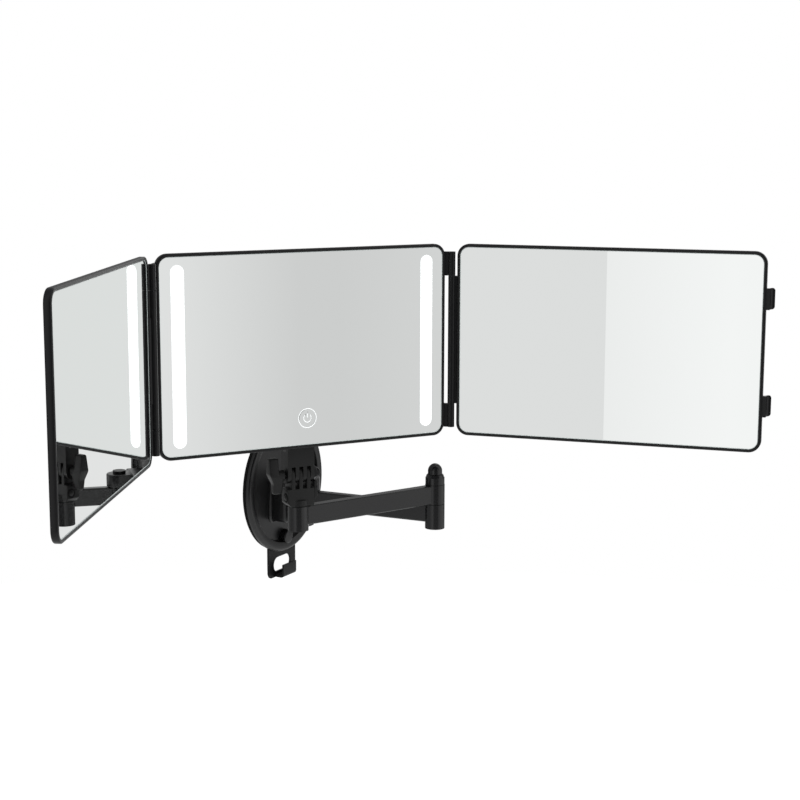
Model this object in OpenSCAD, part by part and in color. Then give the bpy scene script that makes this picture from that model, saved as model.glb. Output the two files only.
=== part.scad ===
// Trifold vanity mirror on a folding wall arm.
// Origin: centre of the base on the wall plane. The wall is the plane Y = 0, the mirror
// stands out towards -Y, and +Z is up. All sizes are in millimetres.

/* [Mirror panels] */
// Width of one mirror panel over its frame
panel_w = 250; // [220:1:280]
// Height of one mirror panel over its frame
panel_h = 159; // [145:1:180]
// Radius of the frame's outer corners
panel_r = 10; // [7:0.5:14]
// Width of the frame's rim seen from the front
rim_w = 2.5; // [2:0.1:4]
// How far the rim stands in front of the glass
rim_lip = 1.0; // [0.5:0.1:1.5]
// Depth of a panel behind the front of its glass
panel_back = 4.3; // [4:0.1:6]
// Thickness of the frame's back wall
back_wall = 1.3; // [1:0.1:1.6]
// Thickness of the mirror glass
glass_t = 2.0; // [1.6:0.1:2.2]
// Gap all round between glass and rim
glass_gap = 0.15; // [0.1:0.05:0.3]
// Bevel on the rim's outer front and back edges
rim_bevel = 0.6; // [0.3:0.1:0.9]

/* [Light strips and touch key] */
// Width of a light strip
strip_w = 11; // [8:0.5:14]
// Distance of a light strip's round ends from the panel's top and bottom edges
strip_margin = 8.75; // [7.5:0.25:20]
// Distance of a strip's centre line from the panel's side edge
strip_inset = 17.2; // [15:0.1:30]
// Gap round each inlay in the glass
inlay_gap = 0.05; // [0.03:0.01:0.1]
// Outer diameter of the touch key's ring
key_d = 15.7; // [12:0.1:20]
// Line width of the touch key's ring
key_line = 0.8; // [0.6:0.1:1.2]
// Height of the touch key's centre over the panel's bottom edge
key_up = 24; // [18:0.5:34]
// Outer diameter of the power sign inside the ring
sign_d = 7.6; // [6:0.1:9]
// Depth of the touch key's print in the glass
key_t = 0.4; // [0.3:0.1:0.8]
// Thickness of a light board
board_t = 0.8; // [0.6:0.1:0.9]
// Width of a light board
board_w = 7; // [5:0.5:8]

/* [Panel hinges] */
// Distance of a hinge axis outside the centre panel's frame
hinge_out = 5.2; // [4.6:0.1:7]
// Distance from a hinge axis to the wing's frame
wing_gap = 4.5; // [4.2:0.1:6]
// Diameter of the hinge barrels
barrel_d = 5.8; // [5:0.1:6.4]
// Diameter of the hinge pins
pin_d = 2.4; // [2:0.1:3]
// Right hinge axis, in front of the centre glass
right_axis = 2.6; // [2.4:0.1:3]
// Right wing's glass, behind its hinge axis
right_set = 0.6; // [0.5:0.1:0.8]
// Left hinge axis, in front of the centre glass
left_axis = 7.0; // [6.8:0.1:7.6]
// Left wing's glass, behind its hinge axis
left_set = 2.5; // [2.4:0.1:3]
// Distance of the hinge barrels' ends from the panel's top and bottom edges
hinge_margin = 6.6; // [4:0.2:12]
// Length of each end knuckle
knuckle_end = 19.6; // [14:0.2:20]
// Gap between neighbouring knuckles
knuckle_gap = 0.3; // [0.2:0.05:0.5]
// Right wing's angle towards the viewer
right_open = 46; // [0:1:90]
// Left wing's angle towards the viewer
left_open = 57; // [0:1:90]

/* [Latch clips] */
// Height of a latch clip
clip_h = 16.8; // [12:0.2:18]
// Distance of a clip's centre from the panel's top or bottom edge
clip_inset = 37.1; // [36.5:0.2:42]
// Radial gap between a seated clip and the hinge barrel
clip_gap = 0.3; // [0.2:0.05:0.4]
// Wall of the clip's curved jaw
clip_wall = 1.0; // [0.8:0.05:1.1]
// Radius of the clip's outer corners
clip_r = 2.2; // [1:0.1:2.5]

/* [Power housing] */
// Width of the battery housing on the centre panel's back
house_w = 140; // [120:1:160]
// Height of the battery housing
house_h = 108; // [96:1:120]
// Depth of the battery housing
house_t = 8; // [7:0.1:10]
// Corner radius of the battery housing
house_r = 8; // [6:0.5:12]
// Height of the housing's lower edge over the panel's bottom edge
house_up = 17.5; // [12:0.5:24]
// Wall of the battery housing
house_wall = 1.6; // [1.2:0.1:2]
// Battery width
cell_w = 62; // [50:1:66]
// Battery height
cell_h = 50; // [40:1:56]
// Battery thickness
cell_t = 4.6; // [4:0.1:5]

/* [Tilt joint] */
// Height of the panel's bottom edge over the tilt axis
panel_up = 25; // [23:0.5:30]
// Distance from the glass plane back to the tilt axis
axis_back = 19.3; // [19:0.1:22]
// Height of the tilt axis
tilt_z = 40.5; // [38:0.5:44]
// Thickness of one finger
finger_t = 3.25; // [3:0.05:3.5]
// Side gap between interleaved fingers
finger_gap = 0.12; // [0.08:0.02:0.2]
// Radius of the bracket's finger ends
finger_r = 7; // [6.5:0.1:7]
// Height of the bracket's block over the tilt axis
block_up = 19.5; // [16:0.5:21]
// Thickness of the plate that lies on the battery housing
plate_t = 4; // [3:0.1:5]
// Length of the plate on the housing
plate_on = 48; // [40:1:60]
// Diameter of the tilt bolt
tilt_bolt_d = 5; // [4:0.1:6]
// Radial running clearance of bolts and pins
fit = 0.05; // [0.02:0.01:0.08]
// Length of the wing knob's bar
knob_len = 30; // [24:1:34]
// Width of the wing knob's bar at its ends
knob_w = 9; // [7:0.5:11]
// Across-flats size of the tilt nut
nut_af = 9; // [8:0.5:11]

/* [Swivel block] */
// Depth from the tilt axis down to the slot floors
slot_down = 11.2; // [9:0.1:12]
// Height of the swivel block's foot
foot_z = 14.5; // [14:0.1:15]
// Diameter of the swivel block's foot
foot_d = 17; // [15:0.5:18]
// Diameter of the arm bolts
arm_bolt_d = 6; // [5:0.5:7]

/* [Folding arm] */
// Length of the rear arm between its axes
rear_len = 125; // [110:1:150]
// Length of the front arm between its axes
front_len = 140; // [120:1:160]
// Height of the arm bars
bar_h = 16.2; // [14:0.2:18]
// Thickness of the arm bars
bar_t = 9; // [7:0.5:11]
// Rounding of the arm bars' long edges
bar_r = 1.6; // [1:0.1:3]
// Diameter of the arm barrels
eye_d = 17; // [15:0.5:18]
// Thickness of the bearing washers
washer_t = 0.5; // [0.4:0.1:0.8]
// Level of the joint plane between the two arms
arm_split = -2.5; // [-4:0.1:-1]
// Rear arm's drop at the elbow, under its bar
elbow_drop = 5.2; // [3:0.1:7]
// Front arm's drop at the front pivot, under its bar
front_drop = 3.8; // [2:0.1:6]
// Rear arm's turn out from the wall's normal
rear_turn = 4; // [-10:1:40]
// Front arm's turn out from the wall's normal
front_turn = -115; // [-125:1:-60]
// Turn of the mirror about the front pivot
head_turn = -33; // [-60:1:60]
// Height of the elbow's collar
collar_h = 8.8; // [6:0.1:10]
// Diameter of the elbow's knob
elbow_knob_d = 12.4; // [10:0.2:15]
// Height of the elbow's knob
elbow_knob_h = 9.5; // [7:0.1:12]

/* [Wall base] */
// Diameter of the base disc
disc_d = 121.6; // [110:0.2:130]
// Thickness of the rubber pad
pad_t = 2.5; // [2:0.1:3]
// Thickness of the disc over the pad
disc_t = 5.5; // [5:0.1:7]
// Width of the raised band round the disc's face
band_w = 13.5; // [10:0.5:16]
// Width of the dished ring inside the band
dish_w = 17; // [10:0.5:20]
// Width of the hub block
hub_w = 45; // [38:1:50]
// Top of the hub block over the arm level
hub_top = 9; // [8:0.5:12]
// Bottom of the hub block under the arm level
hub_bottom = 30.5; // [28:0.5:34]
// Distance of the hub block's front from the wall
hub_out = 19.5; // [17:0.1:20]
// Distance of the base pivot from the wall
pivot_out = 29; // [28.8:0.1:33]
// Radius of the fork lugs
lug_r = 11.5; // [10:0.5:13]
// Running gap above and below the rear arm in the fork
fork_gap = 0.3; // [0.2:0.05:0.4]
// Diameter of the screw caps
cap_d = 11.8; // [10:0.2:14]
// Distance of the wall screws from the centre
screw_z = 48; // [44:0.5:50]
// Diameter of the wall screw holes
screw_d = 5; // [4:0.1:6]

/* [Hanging hook] */
// Width of the steel plate behind the disc
tab_w = 45; // [36:1:46]
// Bottom edge of the steel plate under the centre
tab_down = 86; // [80:0.5:92]
// Corner radius of the steel plate
tab_r = 7; // [4:0.5:9]
// Width of the oval hole
oval_w = 28; // [20:0.5:32]
// Height of the oval hole
oval_h = 14.5; // [10:0.5:16]
// Width of the hook's tongue
hook_w = 21; // [15:0.5:24]
// Reach of the hook from the wall
hook_out = 10; // [9.5:0.1:14]
// Height of the hook's upturned end
hook_up = 11; // [8:0.5:13]

/* [Hidden] */
$fn = 64;
eps = 0.5;
glass_w = panel_w - 2 * rim_w;
glass_h = panel_h - 2 * rim_w;
glass_r = panel_r - rim_w;
floor_y = panel_back - back_wall;
hinge_x = panel_w / 2 + hinge_out;
wing_mid = wing_gap + panel_w / 2;
barrel_r = barrel_d / 2;
pin_r = pin_d / 2;
strip_len = panel_h - 2 * strip_margin;
strip_x = panel_w / 2 - strip_inset;
key_drop = panel_h / 2 - key_up;
knuckle_out = panel_h / 2 - hinge_margin;
knuckle_mid = knuckle_out - knuckle_end - knuckle_gap;
clip_z = panel_h / 2 - clip_inset;
panel_z = tilt_z + panel_up + panel_h / 2;
pitch = finger_t + finger_gap;
stack_w = 7 * finger_t + 6 * finger_gap;
house_y = panel_back + house_t;
bolt_r = tilt_bolt_d / 2;
arm_bolt_r = arm_bolt_d / 2;
eye_r = eye_d / 2;
house_z = -panel_h / 2 + house_up + house_h / 2;
house_low = -house_h / 2;
corner_in = 7;
port_w = 8.9;
port_h = 3.2;
port_l = 7.3;
port_in = 28;
port_x = house_w / 2 - port_in;
port_y = panel_back + 3.2;
port_board_w = 28;
port_board_h = 26;
port_board_up = 16;
cell_left = 8;
cell_up = 16;
plate_high = house_z - house_h / 2 + plate_on;
seat_screw_r = 1.5;
seat_head_r = 2.9;
seat_head_t = 1.8;
plate_screw_x = 7;
plate_screw_top = 8;
plate_screw_low = 14;
slot_floor = tilt_z - slot_down;
foot_top = foot_z + 5;
front_bottom = arm_split;
front_top = arm_split + bar_h + 0.5;
rear_top = arm_split - washer_t;
rear_bottom = rear_top - bar_h;
eye_top_f = foot_z - washer_t;
elbow = [rear_len * sin(rear_turn), -pivot_out - rear_len * cos(rear_turn), 0];
front = elbow + front_len * [sin(front_turn), -cos(front_turn), 0];
nut_t = 4;
nut_sunk = 1.2;
nut_r = nut_af / 2 / cos(30);
pocket = 0.1;
disc_r = disc_d / 2;
face_t = pad_t + disc_t;
cap_seat = face_t - 3.5;
slot_gap = 0.2;
steel_t = pad_t;
plate_top = sqrt(pow(disc_r - 4, 2) - pow(tab_w / 2, 2));
bend = 1;
hub_mid = (hub_top - hub_bottom) / 2;
hub_h = hub_top + hub_bottom;
lug_low = rear_bottom - fork_gap;
lug_high = rear_top + fork_gap;
head_t = 3;
head_r = 5;
knob_x = stack_w / 2 + 1;
knob_bore = 9;
knob_out = 12;
knob_bar_in = 5;
knob_boss_r = 6;
knob_neck = 2.6;
knob_taper = 4;
clip_in = barrel_r + clip_gap;
clip_out = clip_in + clip_wall;
key_r = key_d / 2;
sign_r = sign_d / 2;

black = [0.09, 0.09, 0.09];
dark = [0.16, 0.16, 0.16];
grey = [0.30, 0.30, 0.31];
steel = [0.55, 0.56, 0.58];
silver = [0.80, 0.82, 0.84];
white = [0.97, 0.97, 0.95];

// ---- Placement ------------------------------------------------------------

// Base pivot: the rear arm runs along the local -Y
module at_pivot() { translate([0, -pivot_out, 0]) rotate([0, 0, rear_turn]) children(); }
// Elbow: the front arm runs along the local -Y
module at_elbow() { translate(elbow) rotate([0, 0, front_turn]) children(); }
// Front pivot, turned like the mirror: the local -Y faces the viewer
module at_head() { translate(front) rotate([0, 0, head_turn]) children(); }
// Centre of the centre glass, on its front face
module at_centre() { at_head() translate([0, -axis_back, panel_z]) children(); }
// Right hinge axis: the wing runs along the local +X
module at_right_axis() {
    at_centre() translate([hinge_x, -right_axis, 0]) rotate([0, 0, -right_open]) children();
}
// Left hinge axis: the wing runs along the local -X
module at_left_axis() {
    at_centre() translate([-hinge_x, -left_axis, 0]) rotate([0, 0, left_open]) children();
}
// Centre of the right wing's glass
module at_right() { at_right_axis() translate([wing_mid, right_set, 0]) children(); }
// Centre of the left wing's glass
module at_left() { at_left_axis() translate([-wing_mid, left_set, 0]) children(); }

// ---- Shared shapes --------------------------------------------------------

// Extrudes a drawing made in X and Z from y0 back to y1
module slab_y(y0, y1) {
    translate([0, y1, 0]) rotate([90, 0, 0]) linear_extrude(y1 - y0) children();
}

// Extrudes a drawing made in Y and Z from x0 to x1
module slab_x(x0, x1) {
    translate([x0, 0, 0]) rotate([90, 0, 90]) linear_extrude(x1 - x0) children();
}

// Extrudes a drawing made in X and Y from z0 up to z1
module slab_z(z0, z1) { translate([0, 0, z0]) linear_extrude(z1 - z0) children(); }

// Rectangle with true round corners
module rounded(w, h, r) {
    square([w - 2 * r, h], center = true);
    square([w, h - 2 * r], center = true);
    for (sx = [-1, 1])
        for (sz = [-1, 1])
            translate([sx * (w / 2 - r), sz * (h / 2 - r)])
                circle(r);
}

// Upright cylinder from z0 to z1 about the local Z axis
module post(r, z0, z1) { translate([0, 0, z0]) cylinder(r = r, h = z1 - z0); }

// Bar along X from x0 to x1
module rod_x(r, x0, x1) {
    translate([x0, 0, 0]) rotate([0, 90, 0]) cylinder(r = r, h = x1 - x0);
}

// Bar along Y from y0 to y1
module rod_y(r, y0, y1) {
    translate([0, y1, 0]) rotate([90, 0, 0]) cylinder(r = r, h = y1 - y0);
}

// Points of an arc about c, from angle a0 to angle a1 in n steps
function arc(c, r, a0, a1, n = 8) =
    [for (i = [0:n]) let (a = a0 + (a1 - a0) * i / n) [c[0] + r * cos(a), c[1] + r * sin(a)]];

// ---- Mirror panels --------------------------------------------------------

// Tray that carries the glass: a stepped bevel on both outer edges, an open front
module panel_shell() {
    difference() {
        union() {
            slab_y(-rim_lip + rim_bevel, panel_back - rim_bevel)
                rounded(panel_w, panel_h, panel_r);
            slab_y(-rim_lip + rim_bevel / 2, panel_back - rim_bevel / 2)
                rounded(panel_w - rim_bevel / 2, panel_h - rim_bevel / 2, panel_r - rim_bevel / 4);
            slab_y(-rim_lip, panel_back)
                rounded(panel_w - rim_bevel * 2, panel_h - rim_bevel * 2, panel_r - rim_bevel);
        }
        slab_y(-rim_lip - eps, floor_y)
            rounded(glass_w, glass_h, glass_r);
    }
}

// Mirror glass, without cut-outs
module plain_glass() {
    slab_y(0, glass_t)
        rounded(glass_w - 2 * glass_gap, glass_h - 2 * glass_gap, glass_r - glass_gap);
}

// Adhesive foam sheet between glass and tray
module plain_backing() {
    slab_y(glass_t, floor_y)
        rounded(glass_w - 6, glass_h - 6, glass_r - 3);
}

// Outline of one light strip, grown by g
module strip_outline(g = 0) {
    rounded(strip_w + 2 * g, strip_len + 2 * g, strip_w / 2 + g - 0.001);
}

// Places its children on both strips
module both_strips() {
    for (s = [-1, 1])
        translate([s * strip_x, 0])
            children();
}

// The touch key's ring and power sign, with line widths grown by g on each side
module key_outline(g = 0) {
    difference() {
        circle(key_r + g);
        circle(key_r - key_line - g);
    }
    difference() {
        circle(sign_r + g);
        circle(sign_r - key_line - g);
        translate([0, sign_r])
            square([sign_d * 0.36 - 2 * g, sign_d], center = true);
    }
    translate([0, sign_r * 0.72])
        square([key_line + 2 * g, sign_r * 1.3 + 2 * g], center = true);
}

module centre_shell() { color(black) at_centre() panel_shell(); }

module centre_glass() {
    color(silver) at_centre() difference() {
        plain_glass();
        slab_y(-eps, glass_t + eps) both_strips() strip_outline(inlay_gap);
        translate([0, 0, -key_drop]) slab_y(-eps, key_t) key_outline(inlay_gap);
    }
}

module centre_backing() {
    color(dark) at_centre() difference() {
        plain_backing();
        slab_y(glass_t - eps, floor_y + eps) both_strips() strip_outline(1);
        translate([0, 0, -key_drop]) slab_y(glass_t - eps, floor_y + eps) circle(key_r + 2);
    }
}

module light_strips() {
    color(white) at_centre() slab_y(0, glass_t) both_strips() strip_outline();
}

module light_boards() {
    color(white) at_centre() slab_y(floor_y - board_t, floor_y)
        both_strips() square([board_w, strip_len - strip_w], center = true);
}

module touch_key() {
    color(white) at_centre() translate([0, 0, -key_drop]) slab_y(0, key_t) key_outline();
}

module touch_board() {
    color("darkgreen") at_centre() translate([0, 0, -key_drop])
        slab_y(floor_y - board_t, floor_y) circle(key_r);
}

module right_shell() { color(black) at_right() panel_shell(); }
module right_glass() { color(silver) at_right() plain_glass(); }
module right_backing() { color(dark) at_right() plain_backing(); }
module left_shell() { color(black) at_left() panel_shell(); }
module left_glass() { color(silver) at_left() plain_glass(); }
module left_backing() { color(dark) at_left() plain_backing(); }

// ---- Panel hinges ---------------------------------------------------------

// One knuckle about the local Z axis: a bored barrel, joined to its panel by a web
module knuckle(z0, z1, web, w0, w1) {
    difference() {
        union() {
            post(barrel_r, z0, z1);
            slab_z(w0, w1) polygon(web);
        }
        post(pin_r + fit, z0 - eps, z1 + eps);
    }
}

// Web from the barrel to a frame's side at x = reach, where it is y0 to y1 deep
function web(reach, y0, y1) = let (s = sign(reach), c = barrel_r * 0.9)
    [[0, y0 < 0 ? -c : -c / 2], [reach, y0], [reach, y1], [0, c]];

// End knuckles on the centre panel, above and below the wing's knuckle
module end_knuckles(reach, y0, y1) {
    for (s = [-1, 1])
        mirror([0, 0, s < 0 ? 1 : 0])
            knuckle(knuckle_mid + knuckle_gap, knuckle_out, web(reach, y0, y1),
                    knuckle_mid + knuckle_gap, knuckle_out);
}

// Steel pin through a hinge, between the outer ends of its end knuckles
module hinge_pin() { post(pin_r, -knuckle_out + 0.4, knuckle_out - 0.4); }

module right_end_knuckles() {
    color(black) at_centre() translate([hinge_x, -right_axis, 0])
        end_knuckles(-hinge_out, right_axis - rim_lip + rim_bevel, right_axis + panel_back - rim_bevel);
}

module right_hinge_pin() { color(steel) at_right_axis() hinge_pin(); }

module right_wing_knuckle() {
    color(black) at_right_axis()
        knuckle(-knuckle_mid, knuckle_mid,
                web(wing_gap, right_set - rim_lip + rim_bevel, right_set + panel_back - rim_bevel),
                -knuckle_mid, knuckle_mid);
}

module left_end_knuckles() {
    color(black) at_centre() translate([-hinge_x, -left_axis, 0])
        end_knuckles(hinge_out, left_axis - rim_lip + rim_bevel, left_axis + panel_back - rim_bevel);
}

module left_hinge_pin() { color(steel) at_left_axis() hinge_pin(); }

// The web stops short of the places where the latch clips seat on the barrel
module left_wing_knuckle() {
    web_end = clip_z - clip_h / 2 - 1.5;
    color(black) at_left_axis()
        knuckle(-knuckle_mid, knuckle_mid,
                web(-wing_gap, left_set - rim_lip + rim_bevel, left_set + panel_back / 2),
                -web_end, web_end);
}

// Two clips on the right wing's free edge: when the wing is folded in, their curved jaws
// seat over the left hinge's barrel and hold the panels parallel
module latch_clips() {
    axis_x = 2 * hinge_x;
    axis_y = left_axis - right_axis;
    edge_x = wing_gap + panel_w;
    root_y = axis_y + 0.4;
    color(black) at_right_axis()
        for (s = [-1, 1])
            intersection() {
                slab_z(s * clip_z - clip_h / 2, s * clip_z + clip_h / 2)
                    difference() {
                        union() {
                            intersection() {
                                translate([axis_x, axis_y]) circle(clip_out);
                                translate([axis_x - clip_out, axis_y]) square(clip_out);
                            }
                            translate([edge_x, right_set])
                                square([axis_x - edge_x - clip_in, root_y - right_set]);
                        }
                        translate([axis_x, axis_y]) circle(clip_in);
                    }
                translate([edge_x - eps, 0, s * clip_z])
                    slab_y(-eps, root_y + barrel_d)
                        clip_face(axis_x - edge_x + eps);
            }
}

// Front outline of a clip: square at the frame, round at its free corners
module clip_face(len) {
    translate([0, -clip_h / 2]) square([len - clip_r, clip_h]);
    translate([len - clip_r, -clip_h / 2 + clip_r]) square([clip_r, clip_h - 2 * clip_r]);
    for (s = [-1, 1])
        translate([len - clip_r, s * (clip_h / 2 - clip_r)])
            circle(clip_r);
}

// ---- Battery housing ------------------------------------------------------

// Places its children near the housing's four corners
module housing_corners() {
    for (sx = [-1, 1])
        for (sz = [-1, 1])
            translate([sx * (house_w / 2 - corner_in), 0, sz * (house_h / 2 - corner_in)])
                children();
}

// Places its children at the bracket plate's four screws
module plate_screw_places() {
    for (sx = [-1, 1])
        for (dz = [plate_screw_top, plate_on - plate_screw_low])
            translate([sx * plate_screw_x, 0, plate_high - dz])
                children();
}

module power_housing() {
    color(black) at_centre() {
        difference() {
            union() {
                translate([0, 0, house_z]) difference() {
                    slab_y(panel_back, house_y) rounded(house_w, house_h, house_r);
                    slab_y(panel_back - eps, house_y - house_wall)
                        rounded(house_w - 2 * house_wall, house_h - 2 * house_wall, house_r - house_wall);
                }
                translate([0, 0, house_z]) housing_corners() rod_y(3.4, panel_back, house_y - eps);
                plate_screw_places() rod_y(3.2, panel_back, house_y - eps);
            }
            translate([0, 0, house_z]) housing_corners() {
                rod_y(seat_screw_r + fit, panel_back - eps, house_y + eps);
                rod_y(seat_head_r + 0.1, house_y - seat_head_t, house_y + eps);
            }
            plate_screw_places() rod_y(seat_screw_r + fit, panel_back - eps, house_y + eps);
            translate([port_x, port_y, house_z + house_low - eps])
                slab_z(0, house_wall + 2 * eps) rounded(port_w + 0.3, port_h + 0.3, port_h / 2);
        }
    }
}

module housing_screws() {
    color(grey) at_centre() translate([0, 0, house_z]) housing_corners() {
        rod_y(seat_screw_r, panel_back, house_y - seat_head_t + 0.01);
        rod_y(seat_head_r, house_y - seat_head_t, house_y - 0.2);
    }
}

module battery() {
    color("steelblue") at_centre() translate([-cell_left, 0, house_z + cell_up])
        slab_y(panel_back, panel_back + cell_t) rounded(cell_w, cell_h, 2);
}

module control_board() {
    color("darkgreen") at_centre() translate([port_x, 0, house_z + house_low + house_wall + port_board_up])
        slab_y(panel_back, port_y - port_h / 2) square([port_board_w, port_board_h], center = true);
}

module charge_port() {
    color(steel) at_centre() translate([port_x, port_y, house_z + house_low + 0.4])
        slab_z(0, port_l) difference() {
            rounded(port_w, port_h, port_h / 2 - 0.01);
            rounded(port_w - 0.7, port_h - 0.7, port_h / 2 - 0.36);
        }
}

// ---- Tilt joint -----------------------------------------------------------

// Places its children on the tilt axis, which runs along the local X
module at_tilt() { at_head() translate([0, 0, tilt_z]) children(); }

// Left face of finger layer i, counted from 0 to 6
function layer_x(i) = -stack_w / 2 + i * pitch;

// Side view of the bracket about the tilt axis: round finger end, block and back plate
module bracket_side() {
    plate_y = house_y - axis_back;
    depth = finger_r - plate_y;
    circle(finger_r);
    translate([plate_y, 0]) square([depth, block_up - 3]);
    translate([plate_y, block_up - 3 - eps]) square([depth - 3, 3 + eps]);
    translate([finger_r - 3, block_up - 3]) circle(3);
    translate([plate_y, 0]) square([plate_t, plate_high + panel_z - tilt_z - 4]);
}

module finger_bracket() {
    plate_y = house_y - axis_back;
    top = plate_high + panel_z - tilt_z;
    color(black) difference() {
        at_tilt() difference() {
            union() {
                slab_x(-stack_w / 2, stack_w / 2) bracket_side();
                translate([0, 0, top - plate_on])
                    slab_y(plate_y, plate_y + plate_t)
                        translate([0, plate_on / 2]) rounded(stack_w, plate_on, 4);
            }
            for (i = [1, 3, 5])
                translate([layer_x(i) - finger_gap, -finger_r - eps, -finger_r - eps])
                    cube([finger_t + 2 * finger_gap, 2 * (finger_r + eps), 2 * finger_r + eps]);
            rod_x(bolt_r + fit, -stack_w, stack_w);
            translate([stack_w / 2 - nut_sunk, 0, 0]) rotate([0, 90, 0])
                cylinder(r = nut_r + pocket, h = 3, $fn = 6);
        }
        at_centre() plate_screw_places() rod_y(seat_screw_r + fit, house_y - eps, house_y + 2 * plate_t);
    }
}

module bracket_screws() {
    color(grey) at_centre() plate_screw_places() {
        rod_y(seat_screw_r, panel_back + 1, house_y + plate_t + 0.01);
        rod_y(seat_head_r, house_y + plate_t, house_y + plate_t + seat_head_t);
    }
}

// Three fingers on a block that narrows to a round foot
module swivel_block() {
    finger_rr = finger_r - 0.5;
    color(dark) difference() {
        at_head() difference() {
            union() {
                for (i = [1, 3, 5])
                    translate([0, 0, tilt_z])
                        slab_x(layer_x(i), layer_x(i) + finger_t) {
                            circle(finger_rr);
                            translate([-finger_rr, -slot_down - eps])
                                square([2 * finger_rr, slot_down + eps]);
                        }
                slab_y(-finger_rr, finger_rr)
                    polygon([
                        [-stack_w / 2, slot_floor], [stack_w / 2, slot_floor],
                        [stack_w / 2, foot_top + 2], [foot_d / 2, foot_z],
                        [-foot_d / 2, foot_z], [-stack_w / 2, foot_top + 2]
                    ]);
                post(foot_d / 2, foot_z, foot_top);
            }
            translate([0, 0, tilt_z]) rod_x(bolt_r + fit, -stack_w, stack_w);
            post(arm_bolt_r + fit, foot_z - eps, slot_floor - 3);
        }
    }
}

module tilt_bolt() {
    color(steel) at_tilt() rod_x(bolt_r, -knob_x - knob_bore, stack_w / 2 + nut_t + 1);
}

// Hexagon nut, seated in the last finger's pocket
module tilt_nut() {
    color(grey) at_tilt() translate([stack_w / 2 - nut_sunk, 0, 0]) difference() {
        rotate([0, 90, 0]) cylinder(r = nut_r, h = nut_t, $fn = 6);
        rod_x(bolt_r + fit, -eps, nut_t + eps);
    }
}

// Two-winged knob: a round boss on the bolt and a bar that widens to both ends
module wing_knob() {
    half_w = knob_w / 2;
    wide_z = knob_len / 2 - knob_taper;
    color(dark) at_tilt() difference() {
        union() {
            rod_x(knob_boss_r, -knob_x - knob_out, -knob_x);
            slab_x(-knob_x - knob_out, -knob_x - knob_bar_in) {
                polygon([
                    [-knob_neck, 0], [-half_w, wide_z], [half_w, wide_z],
                    [knob_neck, 0], [half_w, -wide_z], [-half_w, -wide_z]
                ]);
                for (s = [-1, 1])
                    translate([0, s * (knob_len / 2 - half_w)])
                        circle(half_w);
            }
        }
        rod_x(bolt_r + fit, -knob_x - knob_bore - fit, 0);
    }
}

// ---- Folding arm ----------------------------------------------------------

// Bar of the arm from the first eye to the second, along the local -Y
module bar(len, z0, z1) {
    translate([0, -len, (z0 + z1) / 2]) slab_y(0, len) rounded(bar_t, z1 - z0, bar_r);
}

// Rear arm: a short eye in the fork and a longer eye at the elbow
module rear_arm() {
    color(black) at_pivot() difference() {
        union() {
            bar(rear_len, rear_bottom, rear_top);
            post(eye_r, rear_bottom, rear_top);
            translate([0, -rear_len, 0]) post(eye_r, rear_bottom - elbow_drop, rear_top);
        }
        post(arm_bolt_r + fit, rear_bottom - eps, rear_top + eps);
        translate([0, -rear_len, 0]) {
            post(arm_bolt_r + fit, rear_bottom - elbow_drop - eps, rear_top + eps);
            post(head_r + 0.3, rear_bottom - elbow_drop - eps, rear_bottom - elbow_drop + head_t);
        }
    }
}

// Front arm: an eye under the elbow's collar and a dropped eye at the front pivot
module front_arm() {
    color(black) at_elbow() difference() {
        union() {
            bar(front_len, front_bottom, front_top - 0.5);
            post(eye_r, front_bottom, front_top);
            translate([0, -front_len, 0]) post(eye_r, front_bottom - front_drop, eye_top_f);
        }
        post(arm_bolt_r + fit, front_bottom - eps, front_top + eps);
        translate([0, -front_len, 0]) {
            post(arm_bolt_r + fit, front_bottom - front_drop - eps, eye_top_f + eps);
            post(head_r + 0.3, front_bottom - front_drop - eps, front_bottom - front_drop + head_t);
        }
    }
}

// Flat ring from z0 to z1
module ring(ro, ri, z0, z1) {
    difference() {
        post(ro, z0, z1);
        post(ri, z0 - eps, z1 + eps);
    }
}

module elbow_washer() {
    color(grey) translate(elbow) ring(eye_r - 0.6, arm_bolt_r + fit, rear_top, arm_split);
}

module front_washer() {
    color(grey) translate(front) ring(eye_r - 0.6, arm_bolt_r + fit, eye_top_f, foot_z);
}

// Clamping bolt of the elbow, its head sunk in the rear arm's eye
module elbow_bolt() {
    color(steel) translate(elbow) {
        post(arm_bolt_r, rear_bottom - elbow_drop + head_t - 0.01, front_top + collar_h + 5);
        post(head_r, rear_bottom - elbow_drop + 0.2, rear_bottom - elbow_drop + head_t);
    }
}

// Collar between the front arm's eye and the knob
module elbow_collar() {
    color(dark) translate(elbow) difference() {
        rotate_extrude()
            polygon(concat(
                [[0, front_top], [eye_r - 0.2, front_top], [eye_r - 0.2, front_top + collar_h - 1.5]],
                [[eye_r - 1.7, front_top + collar_h], [0, front_top + collar_h]]));
        post(arm_bolt_r + fit, front_top - eps, front_top + collar_h + eps);
    }
}

// Knob with a domed top and six finger grooves
module elbow_knob() {
    knob_r = elbow_knob_d / 2;
    z0 = front_top + collar_h;
    color(dark) translate(elbow) difference() {
        rotate_extrude()
            polygon(concat([[0, z0], [knob_r, z0]],
                arc([knob_r - 3, z0 + elbow_knob_h - 3], 3, 0, 90),
                [[0, z0 + elbow_knob_h]]));
        for (a = [0:60:300])
            rotate([0, 0, a]) translate([knob_r + 1.1, 0, 0])
                post(2, z0 + 1.5, z0 + elbow_knob_h + eps);
        post(arm_bolt_r + fit, z0 - eps, z0 + 5 + 0.2);
    }
}

// Bolt of the front pivot, its head sunk in the front arm's eye
module swivel_bolt() {
    color(steel) translate(front) {
        post(arm_bolt_r, front_bottom - front_drop + head_t - 0.01, slot_floor - 3.5);
        post(head_r, front_bottom - front_drop + 0.2, front_bottom - front_drop + head_t);
    }
}

// ---- Wall base ------------------------------------------------------------

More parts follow.
